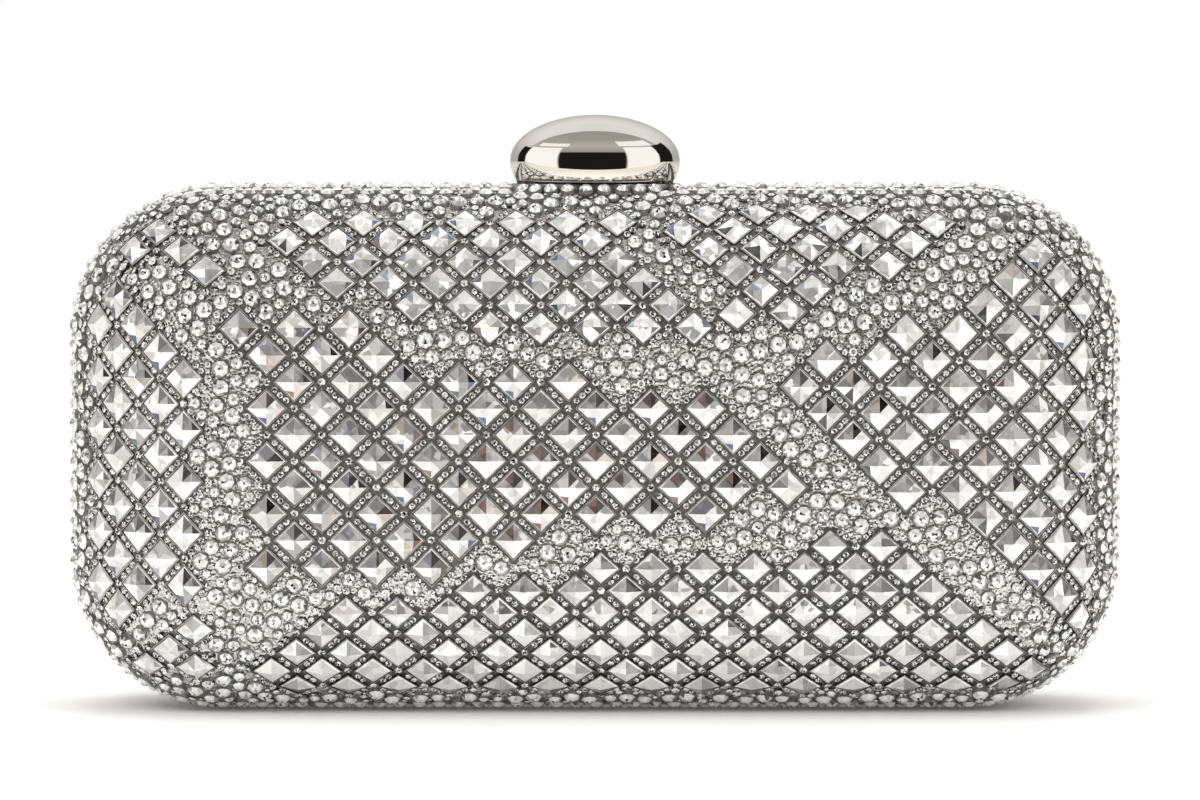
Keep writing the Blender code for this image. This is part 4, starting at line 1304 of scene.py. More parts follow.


# Painted reflections and painted shade on the facets of each kind of panel.
MOODS = {
    "centre": PanelMood(
        right={"light": 3.0, "silver": 1.3, "white": 0.8, "peach": 0.4},
        top_right={"slate": 1.8, "ink": 1.0, "silver": 1.8, "light": 0.8},
        top_left={"blush": 1.7, "light": 1.5, "silver": 1.3, "lilac": 0.5},
        left={"light": 3.0, "silver": 1.2, "white": 1.0},
        low_left={"white": 4.6, "light": 1.6},
        low_right={"white": 4.2, "light": 1.8, "lilac": 0.3},
        patches={5: {"blue": 1.0, "plum": 0.8, "blush": 0.8, "silver": 1.0},
                 0: {"slate": 1.5, "silver": 2.0}},
        patch_share=0.22),
    "midleft": PanelMood(
        right={"light": 2.4, "silver": 1.8, "slate": 0.2},
        top_right={"silver": 2.4, "light": 1.8, "slate": 0.8, "ink": 0.2},
        top_left={"light": 3.0, "silver": 1.2, "peach": 0.7, "lilac": 0.6},
        left={"white": 2.6, "light": 2.4},
        low_left={"white": 4.6, "light": 1.4},
        low_right={"light": 2.0, "silver": 2.2, "peach": 0.5, "white": 0.6},
        patches={0: {"slate": 1.6, "ink": 1.0, "silver": 1.4},
                 7: {"blue": 1.0, "rust": 0.8, "peach": 1.2, "silver": 1.0},
                 5: {"blue": 1.2, "plum": 0.7, "blush": 1.2, "silver": 1.2}}),
    "right": PanelMood(
        right={"light": 2.5, "silver": 1.3, "white": 1.0},
        top_right={"silver": 1.8, "slate": 1.7, "ink": 0.9, "light": 0.8},
        top_left={"light": 2.4, "silver": 1.2, "peach": 0.5, "blush": 0.3},
        left={"light": 3.0, "white": 0.9, "silver": 1.0},
        low_left={"white": 4.0, "light": 1.4, "slate": 0.6, "silver": 0.8},
        low_right={"white": 4.4, "light": 1.8},
        patches={3: {"slate": 1.2, "silver": 1.5, "rust": 0.4}, 4: {"slate": 1.5, "silver": 1.5, "blue": 0.3},
                 5: {"blush": 0.8, "silver": 1.4, "slate": 0.8}},
        patch_share=0.3, blank_share=0.13),
    "top": PanelMood(
        right={"light": 1.0, "white": 4.0, "silver": 0.4},
        top_right={"light": 1.2, "white": 4.0, "silver": 0.3},
        top_left={"white": 4.0, "light": 0.8, "sky": 1.0},
        left={"white": 4.0, "light": 0.8, "sky": 0.6},
        low_left={"white": 6.5, "light": 0.6, "slate": 0.2},
        low_right={"white": 6.0, "light": 0.8, "slate": 0.2},
        patches={3: {"blue": 0.8, "sky": 1.8, "silver": 0.6},
                 4: {"blue": 1.0, "blush": 0.7, "silver": 1.2, "peach": 0.6},
                 7: {"slate": 1.8, "silver": 1.4, "blue": 0.8},
                 0: {"silver": 1.0, "blue": 0.4, "sky": 1.2}},
        patch_share=0.42),
    "bottom": PanelMood(
        right={"light": 4.4, "silver": 2.4, "white": 1.0, "slate": 0.3},
        top_right={"light": 4.4, "silver": 2.4, "white": 1.0, "slate": 0.3},
        top_left={"light": 3.4, "white": 3.4, "silver": 0.3},
        left={"light": 3.4, "white": 3.4, "silver": 0.3},
        low_left={"white": 7.0, "light": 0.8, "silver": 0.2},
        low_right={"white": 7.0, "light": 0.8, "silver": 0.2},
        patches={1: {"silver": 1.5, "slate": 0.8, "peach": 0.4}},
        patch_share=0.3, plain=True, channel_shade=0.64),
    "foot": PanelMood(
        right={"light": 2.6, "silver": 3.4},
        top_right={"light": 2.6, "silver": 3.4},
        top_left={"light": 4.0, "white": 1.4, "silver": 1.4},
        left={"light": 4.0, "white": 1.4, "silver": 1.4},
        low_left={"silver": 3.0, "slate": 2.4},
        low_right={"silver": 3.0, "slate": 2.8},
        plain=True, channel_shade=0.56),
    "side": PanelMood(
        right={"white": 3.0, "light": 2.0, "silver": 0.7},
        top_right={"light": 2.4, "silver": 1.7, "slate": 0.4},
        top_left={"light": 3.0, "silver": 1.1, "white": 0.5},
        left={"white": 3.2, "light": 2.2},
        low_left={"white": 5.0, "light": 1.2},
        low_right={"white": 3.8, "light": 1.8, "silver": 0.5},
        patches={5: {"blue": 2.4, "sky": 0.7, "plum": 0.6, "rust": 0.3},
                 0: {"slate": 1.0, "silver": 1.2, "ink": 0.3}},
        patch_share=0.6),
}


SIDE_START = 0.083
FOOT_TOP = -0.044
MIDLEFT_END = -0.022


def mood_of(panel: Panel, place: Vector) -> PanelMood:
    """Find how a stone is shaded.

    Args:
        panel: its panel.
        place: its place on the unfolded skin.

    Returns:
        The panel's mood, or the one of the places that face sideways or down, or of the centre's left part.
    """
    name = panel.name.split("_")[0]
    if abs(place.x) > SIDE_START or name not in MOODS:
        return MOODS["side"]
    if name == "bottom" and place.y < FOOT_TOP:
        return MOODS["foot"]
    if name == "centre" and place.x < MIDLEFT_END:
        return MOODS["midleft"]
    return MOODS[name]


@dataclass(frozen=True)
class CrystalSetting:
    """The metal mesh that a panel's crystals are set in: channels, with a lip round each stone's seat."""

    back: float = 0.0004
    floor: float = 0.00095
    lip: float = 0.0014
    lip_width: float = 0.00016
    seat: float = 0.0009
    grid_parts: int = 20
    # The floor tint is partly the metal's own colour and partly painted shade in the sunk channel.
    floor_tint: Colour = (0.19, 0.18, 0.165)
    wall_tint: Colour = (0.06, 0.057, 0.053)
    # The lip is lightened as a painted highlight.
    lip_tint: Colour = (0.50, 0.485, 0.46)

    def flat(self, panel: Panel, cells: Cells) -> bmesh.types.BMesh:
        """Model a panel's setting on the unfolded skin.

        Args:
            panel: the panel.
            cells: its lattice cells.

        Returns:
            The setting, as one closed sheet.
        """
        bm = bmesh.new()
        tint = bm.faces.layers.float_color.new(TINT)
        shared: dict[tuple[int, int], bmesh.types.BMVert] = {}
        grid = panel.side / self.grid_parts
        for corners in cells.values():
            for corner in corners:
                key = grid_key(corner, grid)
                if key not in shared:
                    shared[key] = bm.verts.new((corner.x, corner.y, self.back))
            bm.faces.new([shared[grid_key(corner, grid)] for corner in corners])
        tops = extrude_up(bm, self.floor - self.back)
        paint(bm.faces, tint, self.floor_tint)
        steps = ((panel.channel - 2 * self.lip_width, 0.0, self.floor_tint),
                 (self.lip_width / 2, self.lip - self.floor, self.wall_tint),
                 (self.lip_width, 0.0, self.lip_tint),
                 (self.lip_width / 2, self.seat - self.lip, self.wall_tint))
        for thickness, depth, colour in steps:
            paint(inset_each(bm, tops, thickness, depth), tint, colour)
        # channel_shade darkens the lower panels' settings, as painted shade.
        for face in bm.faces:
            shade = mood_of(panel, face.calc_center_median()).channel_shade
            paint([face], tint, tuple(channel * shade for channel in face[tint][:3]))
        return bm


@dataclass(frozen=True)
class Placement:
    """Where a stone sits: its point, the way it faces and its radius."""

    point: Vector
    normal: Vector
    radius: float

    def mirrored(self) -> Placement:
        """Return the same place on the other half."""
        flip = Vector((1, -1, 1))
        return Placement(self.point * flip, self.normal * flip, self.radius)

    def matrix(self, turn: float, lean: Vector) -> Matrix:
        """Place a stone of radius 1.

        Args:
            turn: its turn about its own axis.
            lean: how far its axis leans, as a small vector.

        Returns:
            The matrix.
        """
        axis = (self.normal + lean).normalized()
        rotation = axis.to_track_quat("Z", "Y").to_matrix().to_4x4()
        return (Matrix.Translation(self.point) @ rotation @ Matrix.Rotation(turn, 4, "Z")
                @ Matrix.Scale(self.radius, 4))


class StoneCut(Enum):
    """The round cuts, with the sides of each and the odds of their facets' painted reflections."""

    CHATON = 8
    FILLER = 7
    PIN = 6

    @property
    def crown_weights(self) -> Weights:
        """Say how likely each shade is on the crown's facets.

        Returns:
            The weights.
        """
        if self is StoneCut.PIN:
            return {"white": 3.0, "light": 3.0, "silver": 2.6, "slate": 1.3}
        return {"white": 7.0, "light": 1.8, "silver": 0.8, "slate": 0.45}

    @property
    def heart_weights(self) -> Weights:
        """Say how likely each shade is on the table's facets.

        Returns:
            The weights.
        """
        if self is StoneCut.FILLER:
            return {"white": 3.0, "light": 2.0, "silver": 1.0, "slate": 0.8}
        return {"ink": 2.0, "slate": 1.5, "white": 1.5, "light": 1.0}

    @property
    def star_weights(self) -> Weights:
        """Say how likely each shade is on the star facets, which only chatons have."""
        return {"white": 7.0, "light": 2.0, "silver": 0.7, "ink": 0.35} if self is StoneCut.CHATON else {}


@dataclass(frozen=True)
class RoundStone:
    """A round stone of radius 1, with its girdle at height 0, a crown, a ring of star facets and a table."""

    cut: StoneCut
    crown_inset: float = 0.40
    crown_height: float = 0.42
    star_inset: float = 0.34
    star_height: float = 0.12
    table_rise: float = 0.02
    pavilion: float = 0.5

    def template(self, rng: random.Random) -> bpy.types.Mesh:
        """Model and shade one stone.

        Args:
            rng: the source of chance for the shades.

        Returns:
            The stone's mesh.
        """
        bm = bmesh.new()
        tint = bm.faces.layers.float_color.new(TINT)
        bmesh.ops.create_circle(bm, cap_ends=True, segments=self.cut.value, radius=1.0,
                                matrix=Matrix.Translation((0, 0, -self.pavilion)))
        top = extrude_up(bm, self.pavilion)[0]
        # The pavilion and girdle stay painted slate, as painted shade; the facets above get painted
        # reflections.
        paint(bm.faces, tint, SHADES.slate)
        crown = inset_each(bm, [top], self.crown_inset, self.crown_height)
        bmesh.ops.rotate(bm, verts=top.verts[:], cent=(0, 0, 0),
                         matrix=Matrix.Rotation(math.pi / self.cut.value, 3, "Z"))
        for face in bmesh.ops.triangulate(bm, faces=crown)["faces"]:
            paint([face], tint, SHADES.pick(rng, self.cut.crown_weights))
        if self.cut.star_weights:
            for face in inset_each(bm, [top], self.star_inset, self.star_height):
                paint([face], tint, SHADES.pick(rng, self.cut.star_weights))
        for face in bmesh.ops.poke(bm, faces=[top], offset=self.table_rise)["faces"]:
            paint([face], tint, SHADES.pick(rng, self.cut.heart_weights))
        return as_mesh("stone", bm)


@dataclass(frozen=True)
class StoneCup:
    """The cup of radius 1 that a round stone is set in: a thin wall with a rolled lip."""

    sides: int = 10
    wall: float = 0.07
    low: float = -0.55
    high: float = 0.02
    floor_depth: float = 0.55 / 3
    tint: Colour = (0.45, 0.44, 0.42)
    lip_tint: Colour = (0.20, 0.195, 0.185)

    def template(self) -> bpy.types.Mesh:
        """Model the cup.

        Returns:
            The cup's mesh.
        """
        bm = bmesh.new()
        layer = bm.faces.layers.float_color.new(TINT)
        bmesh.ops.create_circle(bm, cap_ends=True, segments=self.sides, radius=1.0 + self.wall,
                                matrix=Matrix.Translation((0, 0, self.low)))
        tops = extrude_up(bm, self.high - self.low)
        paint(bm.faces, layer, self.tint)
        paint(inset_each(bm, tops, self.wall), layer, self.lip_tint)
        inset_each(bm, tops, self.wall / 2, -self.floor_depth)
        return as_mesh("stone", bm)


class StoneField:
    """Round stones scattered so that none touches another or a square stone's cell."""

    def __init__(self, gap: float = 0.00016, pitch: float = 0.004) -> None:
        """Start an empty field.

        Args:
            gap: the least gap between two stones' girdles.
            pitch: the size of the boxes that neighbours are looked up in.
        """
        self.gap = gap
        self.pitch = pitch
        self.placed: list[Placement] = []
        self.grid: dict[tuple[int, int, int], list[Placement]] = {}

    def key(self, point: Vector) -> tuple[int, int, int]:
        """Return the box of the grid that a point is in."""
        return tuple(math.floor(value / self.pitch) for value in point)

    def free(self, point: Vector, radius: float) -> bool:
        """Tell whether a stone fits clear of the placed ones.

        Args:
            point: its centre.
            radius: its radius.

        Returns:
            Whether it fits.
        """
        x, y, z = self.key(point)
        for i, j, k in product((-1, 0, 1), repeat=3):
            for other in self.grid.get((x + i, y + j, z + k), ()):
                if (other.point - point).length < other.radius + radius + self.gap:
                    return False
        return True

    def add(self, point: Vector, normal: Vector, radius: float) -> bool:
        """Place a stone if it fits.

        Args:
            point: its centre.
            normal: the way it faces.
            radius: its radius.

        Returns:
            Whether it was placed.
        """
        if not self.free(point, radius):
            return False
        stone = Placement(point, normal, radius)
        self.grid.setdefault(self.key(point), []).append(stone)
        self.placed.append(stone)
        return True


@dataclass(frozen=True)
class Spot:
    """Where a round stone might go: its point, the way it faces, its room and its unfolded place."""

    point: Vector
    normal: Vector
    room: float
    place: Vector


@dataclass(frozen=True)
class StoneRow:
    """A row of round stones along the seam.

    It lies at a distance along the skin from the seam. Its first stone lies at a share of the pitch, and all
    its stones stand higher than the others by the lift.
    """

    distance: float
    radius: float
    start: float
    lift: float


@dataclass
class RoundStonePlan:
    """Where the round stones of one half go: rows along the seam, and a scatter in the bands."""

    form: CaseForm
    plan: PanelPlan
    height: float = 0.00125
    seam_setback: float = 0.0026
    rows: tuple[StoneRow, ...] = (
        StoneRow(0.0043, 0.00162, 0.0, 0.0004), StoneRow(0.0073, 0.00138, 0.5, -0.0001),
        StoneRow(0.0101, 0.0015, 0.0, -0.00005))
    lift_end: float = 0.014
    row_pitch: float = 0.0038
    band_start: float = 0.0118
    stone_margin: float = 0.0001
    knob_half: tuple[float, float] = (0.0164, 0.0102)
    seat_radius: float = 0.00135
    seat_height: float = 0.00155
    seat_gaps: float = 1.5
    seat_rise: float = 1.6
    mixed_radii: dict[float, float] = field(default_factory=lambda: {
        0.00168: 5.0, 0.0015: 2.0, 0.00128: 1.5, 0.00105: 1.2})
    neighbours: int = 11
    neighbour_gaps: float = 1.3
    chaton_radii: tuple[float, ...] = (0.0016, 0.0014, 0.0012, 0.001)
    filler_radii: tuple[float, ...] = (0.00084, 0.0007, 0.00056, 0.00044, 0.00034)
    least_inset: float = 0.0004
    band_tries: int = 14000
    edge_tries: int = 9000
    edge_sink: float = 0.00045
    seed: int = 11

    def clear_of_knob(self, point: Vector, radius: float) -> bool:
        """Tell whether a stone lies clear of the knob's seat.

        Args:
            point: the stone's centre.
            radius: its radius.

        Returns:
            Whether it does.
        """
        if point.z < self.form.centre_height + self.form.half_height - 2 * self.height:
            return True
        wide, deep = self.knob_half
        return math.hypot(point.x / (wide + radius), point.y / (deep + radius)) > 1

    def on_edge(self, place: Vector, out: Vector, distance: float, lift: float) -> tuple[Vector, Vector]:
        """Find where a stone sits by its place round the outline and its distance from the seam.

        Args:
            place: its place on the outline at its inset.
            out: the way out of the outline there.
            distance: the distance along the skin from the seam.
            lift: how much higher than the others it stands.

        Returns:
            The point and the way it faces, on the front half.
        """
        bare, inset, depth = self.form.across(distance, self.height + lift)
        _, low_inset, low_depth = self.form.across(distance, 0.0)
        point = place + out * (bare - inset)
        low = place + out * (bare - low_inset)
        centre = self.form.centre_height
        point = Vector((point.x, -depth, centre + point.y))
        low = Vector((low.x, -low_depth, centre + low.y))
        return point, (point - low).normalized()

    def make(self) -> tuple[list[Placement], list[Placement]]:
        """Place the stones.

        Returns:
            The chatons and the fillers of the front half.
        """
        rng = random.Random(self.seed)
        stones = StoneField()
        self.place_seat_ring(stones)
        self.place_rows(stones)
        band = self.band_spots(rng)
        edge = self.edge_spots(rng)
        self.grow(stones, band, rng)
        for radius in self.chaton_radii:
            self.fill(stones, radius, band)
        chatons = len(stones.placed)
        for radius in self.filler_radii:
            self.fill(stones, radius, band + edge)
        return stones.placed[:chatons], stones.placed[chatons:]

    def place_seat_ring(self, stones: StoneField) -> None:
        """Set a ring of raised stones round the knob's foot, which hides the posts.

        Args:
            stones: the stones so far.
        """
        radius = self.seat_radius
        wide, deep = (half + radius + stones.gap for half in self.knob_half)
        top = self.form.centre_height + self.form.half_height
        around = math.pi * math.sqrt((wide ** 2 + deep ** 2) / 2)
        count = round(around / (2 * radius + self.seat_gaps * stones.gap))
        for index in range(count):
            angle = math.pi * (index + 0.5) / count
            point = Vector((wide * math.cos(angle), -deep * math.sin(angle), top + self.seat_height))
            normal = Vector((point.x / wide ** 2, point.y / deep ** 2, 0)).normalized()
            normal.z = self.seat_rise
            if -point.y > self.seam_setback + radius:
                stones.add(point, normal.normalized(), radius)

    def place_rows(self, stones: StoneField) -> None:
        """Set the rows along the seam, whose lift fades out towards the foot that the case stands on.

        Args:
            stones: the stones so far.
        """
        count = round(self.form.round_length(-self.height) / self.row_pitch)
        for row in self.rows:
            bare = self.form.across(row.distance, 0.0)[0]
            for place, out in self.form.outline(bare, count, row.start):
                share = min(1.0, max(0.0, (place.y + self.form.half_height) / self.lift_end))
                point, normal = self.on_edge(place, out, row.distance, row.lift * share)
                if self.clear_of_knob(point, row.radius):
                    stones.add(point, normal, row.radius)

    def grow(self, stones: StoneField, spots: Sequence[Spot], rng: random.Random) -> None:
        """Let close-set stones of mixed sizes spread from wherever one fits.

        Args:
            stones: the stones so far.
            spots: where a cluster may start.
            rng: the source of chance.
        """
        radii = list(self.mixed_radii)
        weights = list(self.mixed_radii.values())
        for spot in spots:
            radius = radii[0]
            if not self.put(stones, spot, radius):
                continue
            queue = [(spot, radius)]
            while queue:
                spot, radius = queue.pop(0)
                turn = rng.uniform(0, math.tau)
                for step in range(self.neighbours):
                    other = rng.choices(radii, weights)[0]
                    angle = turn + math.tau * step / self.neighbours
                    reach = radius + other + stones.gap * self.neighbour_gaps
                    place = spot.place + Vector((math.cos(angle), math.sin(angle), 0)) * reach
                    beside = self.spot(place)
                    if beside and self.put(stones, beside, other):
                        queue.append((beside, other))

    def put(self, stones: StoneField, spot: Spot, radius: float) -> bool:
        """Place a stone on a spot if there is room.

        Args:
            stones: the stones so far.
            spot: the spot.
            radius: the stone's radius.

        Returns:
            Whether it was placed.
        """
        if spot.room < radius or not self.clear_of_knob(spot.point, radius):
            return False
        return stones.add(spot.point, spot.normal, radius)

    def fill(self, stones: StoneField, radius: float, spots: Sequence[Spot]) -> None:
        """Put a stone of one size on every spot that has room for it."""
        for spot in spots:
            self.put(stones, spot, radius)

    def spot(self, place: Vector) -> Spot | None:
        """Look at a place in the bands.

        Args:
            place: a place of the unfolded skin.

        Returns:
            The spot, or nothing if it is too near the seam or a square stone.
        """
        form = self.form
        wide, high = form.skin_half
        if abs(place.x) > wide or abs(place.y) > high:
            return None
        inset, _ = form.inset_of(*form.folded(place))
        room = self.plan.distance(place) - self.stone_margin
        if inset < self.least_inset or room < self.filler_radii[-1]:
            return None
        return Spot(form.lay(place, Side.FRONT), form.normal(place, Side.FRONT), room, place)

    def band_spots(self, rng: random.Random) -> list[Spot]:
        """Throw spots onto the bands between the panels.

        Args:
            rng: the source of chance.

        Returns:
            The spots.
        """
        wide, high = self.form.skin_half
        places = [Vector((rng.uniform(-wide, wide), rng.uniform(-high, high), self.height))
                  for _ in range(self.band_tries)]
        return [spot for spot in map(self.spot, places) if spot]

    def edge_spots(self, rng: random.Random) -> list[Spot]:
        """Throw spots onto the rows along the seam, a little lower than the rows' own stones.

        Args:
            rng: the source of chance.

        Returns:
            The spots.
        """
        found = []
        for _ in range(self.edge_tries):
            distance = rng.uniform(self.seam_setback + self.filler_radii[-1], self.band_start)
            bare = self.form.across(distance, self.height)[0]
            place, out = self.form.outline(bare, 1, rng.random())[0]
            point, normal = self.on_edge(place, out, distance, -self.edge_sink)
            found.append(Spot(point, normal, distance - self.seam_setback, Vector()))
        return found


class StoneSetter:
    """Copies shaded templates onto their places and gathers them into one mesh."""

    def __init__(self, seed: int) -> None:
        """Start with a source of chance."""
        self.rng = random.Random(seed)

    def set(self, templates: Sequence[bpy.types.Mesh], places: Iterable[Placement], lean: float = 0.05,
            scale: float = 1.0) -> bmesh.types.BMesh:
        """Set stones.

        Args:
            templates: meshes of radius 1 to choose from.
            places: where they go.
            lean: how far they may lean.
            scale: their size as a share of the place's radius.

        Returns:
            All the stones.
        """
        bm = bmesh.new()
        for place in places:
            mesh = self.rng.choice(templates).copy()
            tilt = Vector([self.rng.gauss(0, lean) for _ in range(3)])
            mesh.transform(place.matrix(self.rng.uniform(0, math.tau), tilt) @ Matrix.Scale(scale, 4))
            bm.from_mesh(mesh, face_normals=False, vertex_normals=False)
            bpy.data.meshes.remove(mesh)
        return bm


@dataclass
class StonedHalf:
    """Everything glued to one half of the case, with the seeds of its shades and of its stones' turns."""

    side: Side
    form: CaseForm
    plan: PanelPlan
    chatons: list[Placement]
    fillers: list[Placement]
    bench: Bench
    square_finish: CrystalFinish = CrystalFinish("square_crystal")
    round_finish: CrystalFinish = CrystalFinish("round_crystal", 0.06, 0.6, shard_shade=0.92)
    setting_finish: TintedMetalFinish = TintedMetalFinish("setting_metal")
    foil_finish: BeadedFoilFinish = BeadedFoilFinish("beaded_foil")
    panel_seed: int = 100
    pin_seed: int = 5
    pin_turn_seed: int = 40
    pin_kinds: int = 8
    pin_lean: float = 0.12
    pin_radius: float = 0.00068
    cross_radius: float = 0.00078
    pin_pitch: float = 0.00142
    pin_height: float = 0.00112
    stone_seed: int = 7
    stone_turn_seed: int = 60
    chaton_kinds: int = 14
    filler_kinds: int = 10
    stone_scale: float = 0.95
    cup_scale: float = 0.96
    edge_reach: float = 0.005
    foil_start: float = 0.0027
    foil_reach: float = 0.045
    foil_height: float = 0.0006
    foil_wall: float = 0.0003
    foil_rings: int = 26
    foil_points: int = 200

    def laid(self, bm: bmesh.types.BMesh) -> bmesh.types.BMesh:
        """Lay a flat mesh on this half.

        Args:
            bm: the mesh on the unfolded skin.

        Returns:
            The same mesh, on the case.
        """
        for vert in bm.verts:
            vert.co = self.form.lay(vert.co, self.side)
        return bm

    def make(self) -> None:
        """Make the panels, the rows, the bands, the foil and the bezel."""
        for index, panel in enumerate(PANELS):
            cells = self.plan.cells[panel.name]
            rng = random.Random(self.panel_seed * index + self.side.value)
            crystals = self.laid(SquareCrystals().flat(panel, cells, rng))
            self.bench.half_piece(self.side, f"{panel.name}_crystals", crystals, self.square_finish,
                                  Slot.SQUARE, f"{panel.name}_stones")
            setting = self.laid(CrystalSetting().flat(panel, cells))
            self.bench.half_piece(self.side, f"{panel.name}_setting", setting, self.setting_finish,
                                  Slot.FRAME)
        self.make_pins()
        self.make_round_stones()
        self.make_foil()
        self.bench.half_piece(self.side, "seat_bezel", SeatBezel().mesh(self.side), NICKEL, Slot.FRAME,
                              smooth=40)

    def pin(self, place: Vector, radius: float) -> Placement:
        """Return where a tiny stone sits, by its place on the unfolded skin."""
        raised = Vector((place.x, place.y, self.pin_height))
        return Placement(self.form.lay(raised, self.side), self.form.normal(raised, self.side), radius)

    def pin_places(self) -> list[Placement]:
        """Find where the tiny stones go that line the channels and their crossings.

        Returns:
            Their places.
        """
        places = []
        done: set[tuple[int, int, int, int]] = set()
        crossings: dict[tuple[int, int], Vector] = {}
        for panel in PANELS:
            for corners in self.plan.cells[panel.name].values():
                for start, end in sides(corners):
                    first = grid_key(start, self.pin_radius)
                    last = grid_key(end, self.pin_radius)
                    crossings[first] = start
                    key = (*min(first, last), *max(first, last))
                    if key not in done:
                        done.add(key)
                        places.extend(self.along(start, end))
        return places + [self.pin(place, self.cross_radius) for place in crossings.values()]

    def along(self, start: Vector, end: Vector) -> list[Placement]:
        """Space tiny stones along one side of a cell.

        Args:
            start: where the side starts.
            end: where it ends.

        Returns:
            Their places.
        """
        length = (end - start).length
        room = length - 2 * (self.cross_radius + self.pin_radius / 2)
        count = int(room / self.pin_pitch)
        shares = [0.5 + (index - (count - 1) / 2) * self.pin_pitch / length for index in range(count)]
        return [self.pin(start.lerp(end, share), self.pin_radius) for share in shares]

    def make_pins(self) -> None:
        """Line the channels with tiny stones."""
        rng = random.Random(self.pin_seed)
        cut = RoundStone(StoneCut.PIN, crown_inset=0.42, crown_height=0.28)
        templates = [cut.template(rng) for _ in range(self.pin_kinds)]
        setter = StoneSetter(self.pin_turn_seed + self.side.value)
        pins = setter.set(templates, self.pin_places(), lean=self.pin_lean)
        self.bench.half_piece(self.side, "channel_crystals", pins, self.round_finish, Slot.ROUND)

    def make_round_stones(self) -> None:
        """Set the round stones of the seam rows and the bands, with their cups and fillers."""
        rng = random.Random(self.stone_seed)
        chatons = [RoundStone(StoneCut.CHATON).template(rng) for _ in range(self.chaton_kinds)]
        small = RoundStone(StoneCut.FILLER, crown_height=0.32)
        fillers = [small.template(rng) for _ in range(self.filler_kinds)]
        cup = [StoneCup().template()]
        places, gaps = self.chatons, self.fillers
        if self.side is Side.BACK:
            places, gaps = ([place.mirrored() for place in found] for found in (places, gaps))
        end = self.form.side_wall + self.edge_reach
        setter = StoneSetter(self.stone_turn_seed + self.side.value)
        for part, chosen in (("edge", [place for place in places if abs(place.point.y) < end]),
                             ("band", [place for place in places if abs(place.point.y) >= end])):
            stones = setter.set(chatons, chosen, scale=self.stone_scale)
            self.bench.half_piece(self.side, f"{part}_crystals", stones, self.round_finish, Slot.ROUND,
                                  f"{part}_stones")
            cups = setter.set(cup, chosen, lean=0.0, scale=self.cup_scale)
            self.bench.half_piece(self.side, f"{part}_cups", cups, self.setting_finish, Slot.FRAME)
        self.bench.half_piece(self.side, "filler_crystals", setter.set(fillers, gaps), self.round_finish,
                              Slot.ROUND)

    def make_foil(self) -> None:
        """Lay the beaded foil under the round stones, from the seam to the middle of the face."""
        form = self.form
        rings = []
        last = form.across(math.inf, self.foil_height)[0]
        steps = [form.side_wall + index / self.foil_rings * self.foil_reach
                 for index in range(self.foil_rings)]
        for distance in [self.foil_start, *steps]:
            bare, inset, depth = form.across(distance, self.foil_height)
            if bare > last:
                break
            rings.append(form.ring(inset, depth, self.foil_points, self.side))
        bm = ring_loft(rings)
        bmesh.ops.solidify(bm, geom=bm.faces[:], thickness=self.foil_wall)
        self.bench.half_piece(self.side, "foil", bm, self.foil_finish, Slot.FRAME, smooth=40)


@dataclass(frozen=True)
class SeatBezel:
    """Half of the thin oval wall round the knob's foot."""

    half_wide: float = 0.01605
    half_deep: float = 0.00995
    wall: float = 0.00025
    foot: float = 0.0975
    top: float = 0.10005
    seam_gap: float = 0.0005
    points: int = 48

    def mesh(self, side: Side) -> bmesh.types.BMesh:
        """Model the wall of one half.

        Args:
            side: the half.

        Returns:
            The wall.
        """
        bm = bmesh.new()
        start = math.asin(self.seam_gap / self.half_deep)
        verts = []
        for index in range(self.points + 1):
            angle = start + (math.pi - 2 * start) * index / self.points
            verts.append(bm.verts.new((self.half_wide * math.cos(angle),
                                       side.value * self.half_deep * math.sin(angle), self.foot)))
        edges = [bm.edges.new(pair) for pair in zip(verts, verts[1:])]
        raised = bmesh.ops.extrude_edge_only(bm, edges=edges)["geom"]
        bmesh.ops.translate(bm, vec=(0, 0, self.top - self.foot), verts=only(raised, bmesh.types.BMVert))
        bm.normal_update()
        bmesh.ops.solidify(bm, geom=bm.faces[:], thickness=self.wall)
        return bm


def ring_loft(rings: Sequence[Sequence[Vector]], close: bool = False) -> bmesh.types.BMesh:
    """Extrude a ring of edges from place to place, and cap the last one or join it to the first.

    Args:
        rings: the rings' points, all of the same number.
        close: whether the last ring joins the first one.

    Returns:
        The surface, facing away from the case's middle if it is capped.
    """
    bm = bmesh.new()
    verts = [bm.verts.new(point) for point in rings[0]]
    edges = [bm.edges.new(pair) for pair in sides(verts)]
    first = list(edges)
    for ring in rings[1:]:
        made = bmesh.ops.extrude_edge_only(bm, edges=edges)["geom"]
        edges = only(made, bmesh.types.BMEdge)
        kept = set(edges)
        before = {next(edge.other_vert(vert) for edge in vert.link_edges if edge not in kept): vert
                  for vert in only(made, bmesh.types.BMVert)}
        verts = [before[vert] for vert in verts]
        for vert, point in zip(verts, ring):
            vert.co = point
    if close:
        bmesh.ops.bridge_loops(bm, edges=first + edges)
        bmesh.ops.recalc_face_normals(bm, faces=bm.faces[:])
        return bm
    cap = bmesh.ops.contextual_create(bm, geom=edges)["faces"][0]
    bmesh.ops.recalc_face_normals(bm, faces=bm.faces[:])
    if cap.normal.y * cap.calc_center_median().y < 0:
        bmesh.ops.reverse_faces(bm, faces=bm.faces[:])
    return bm


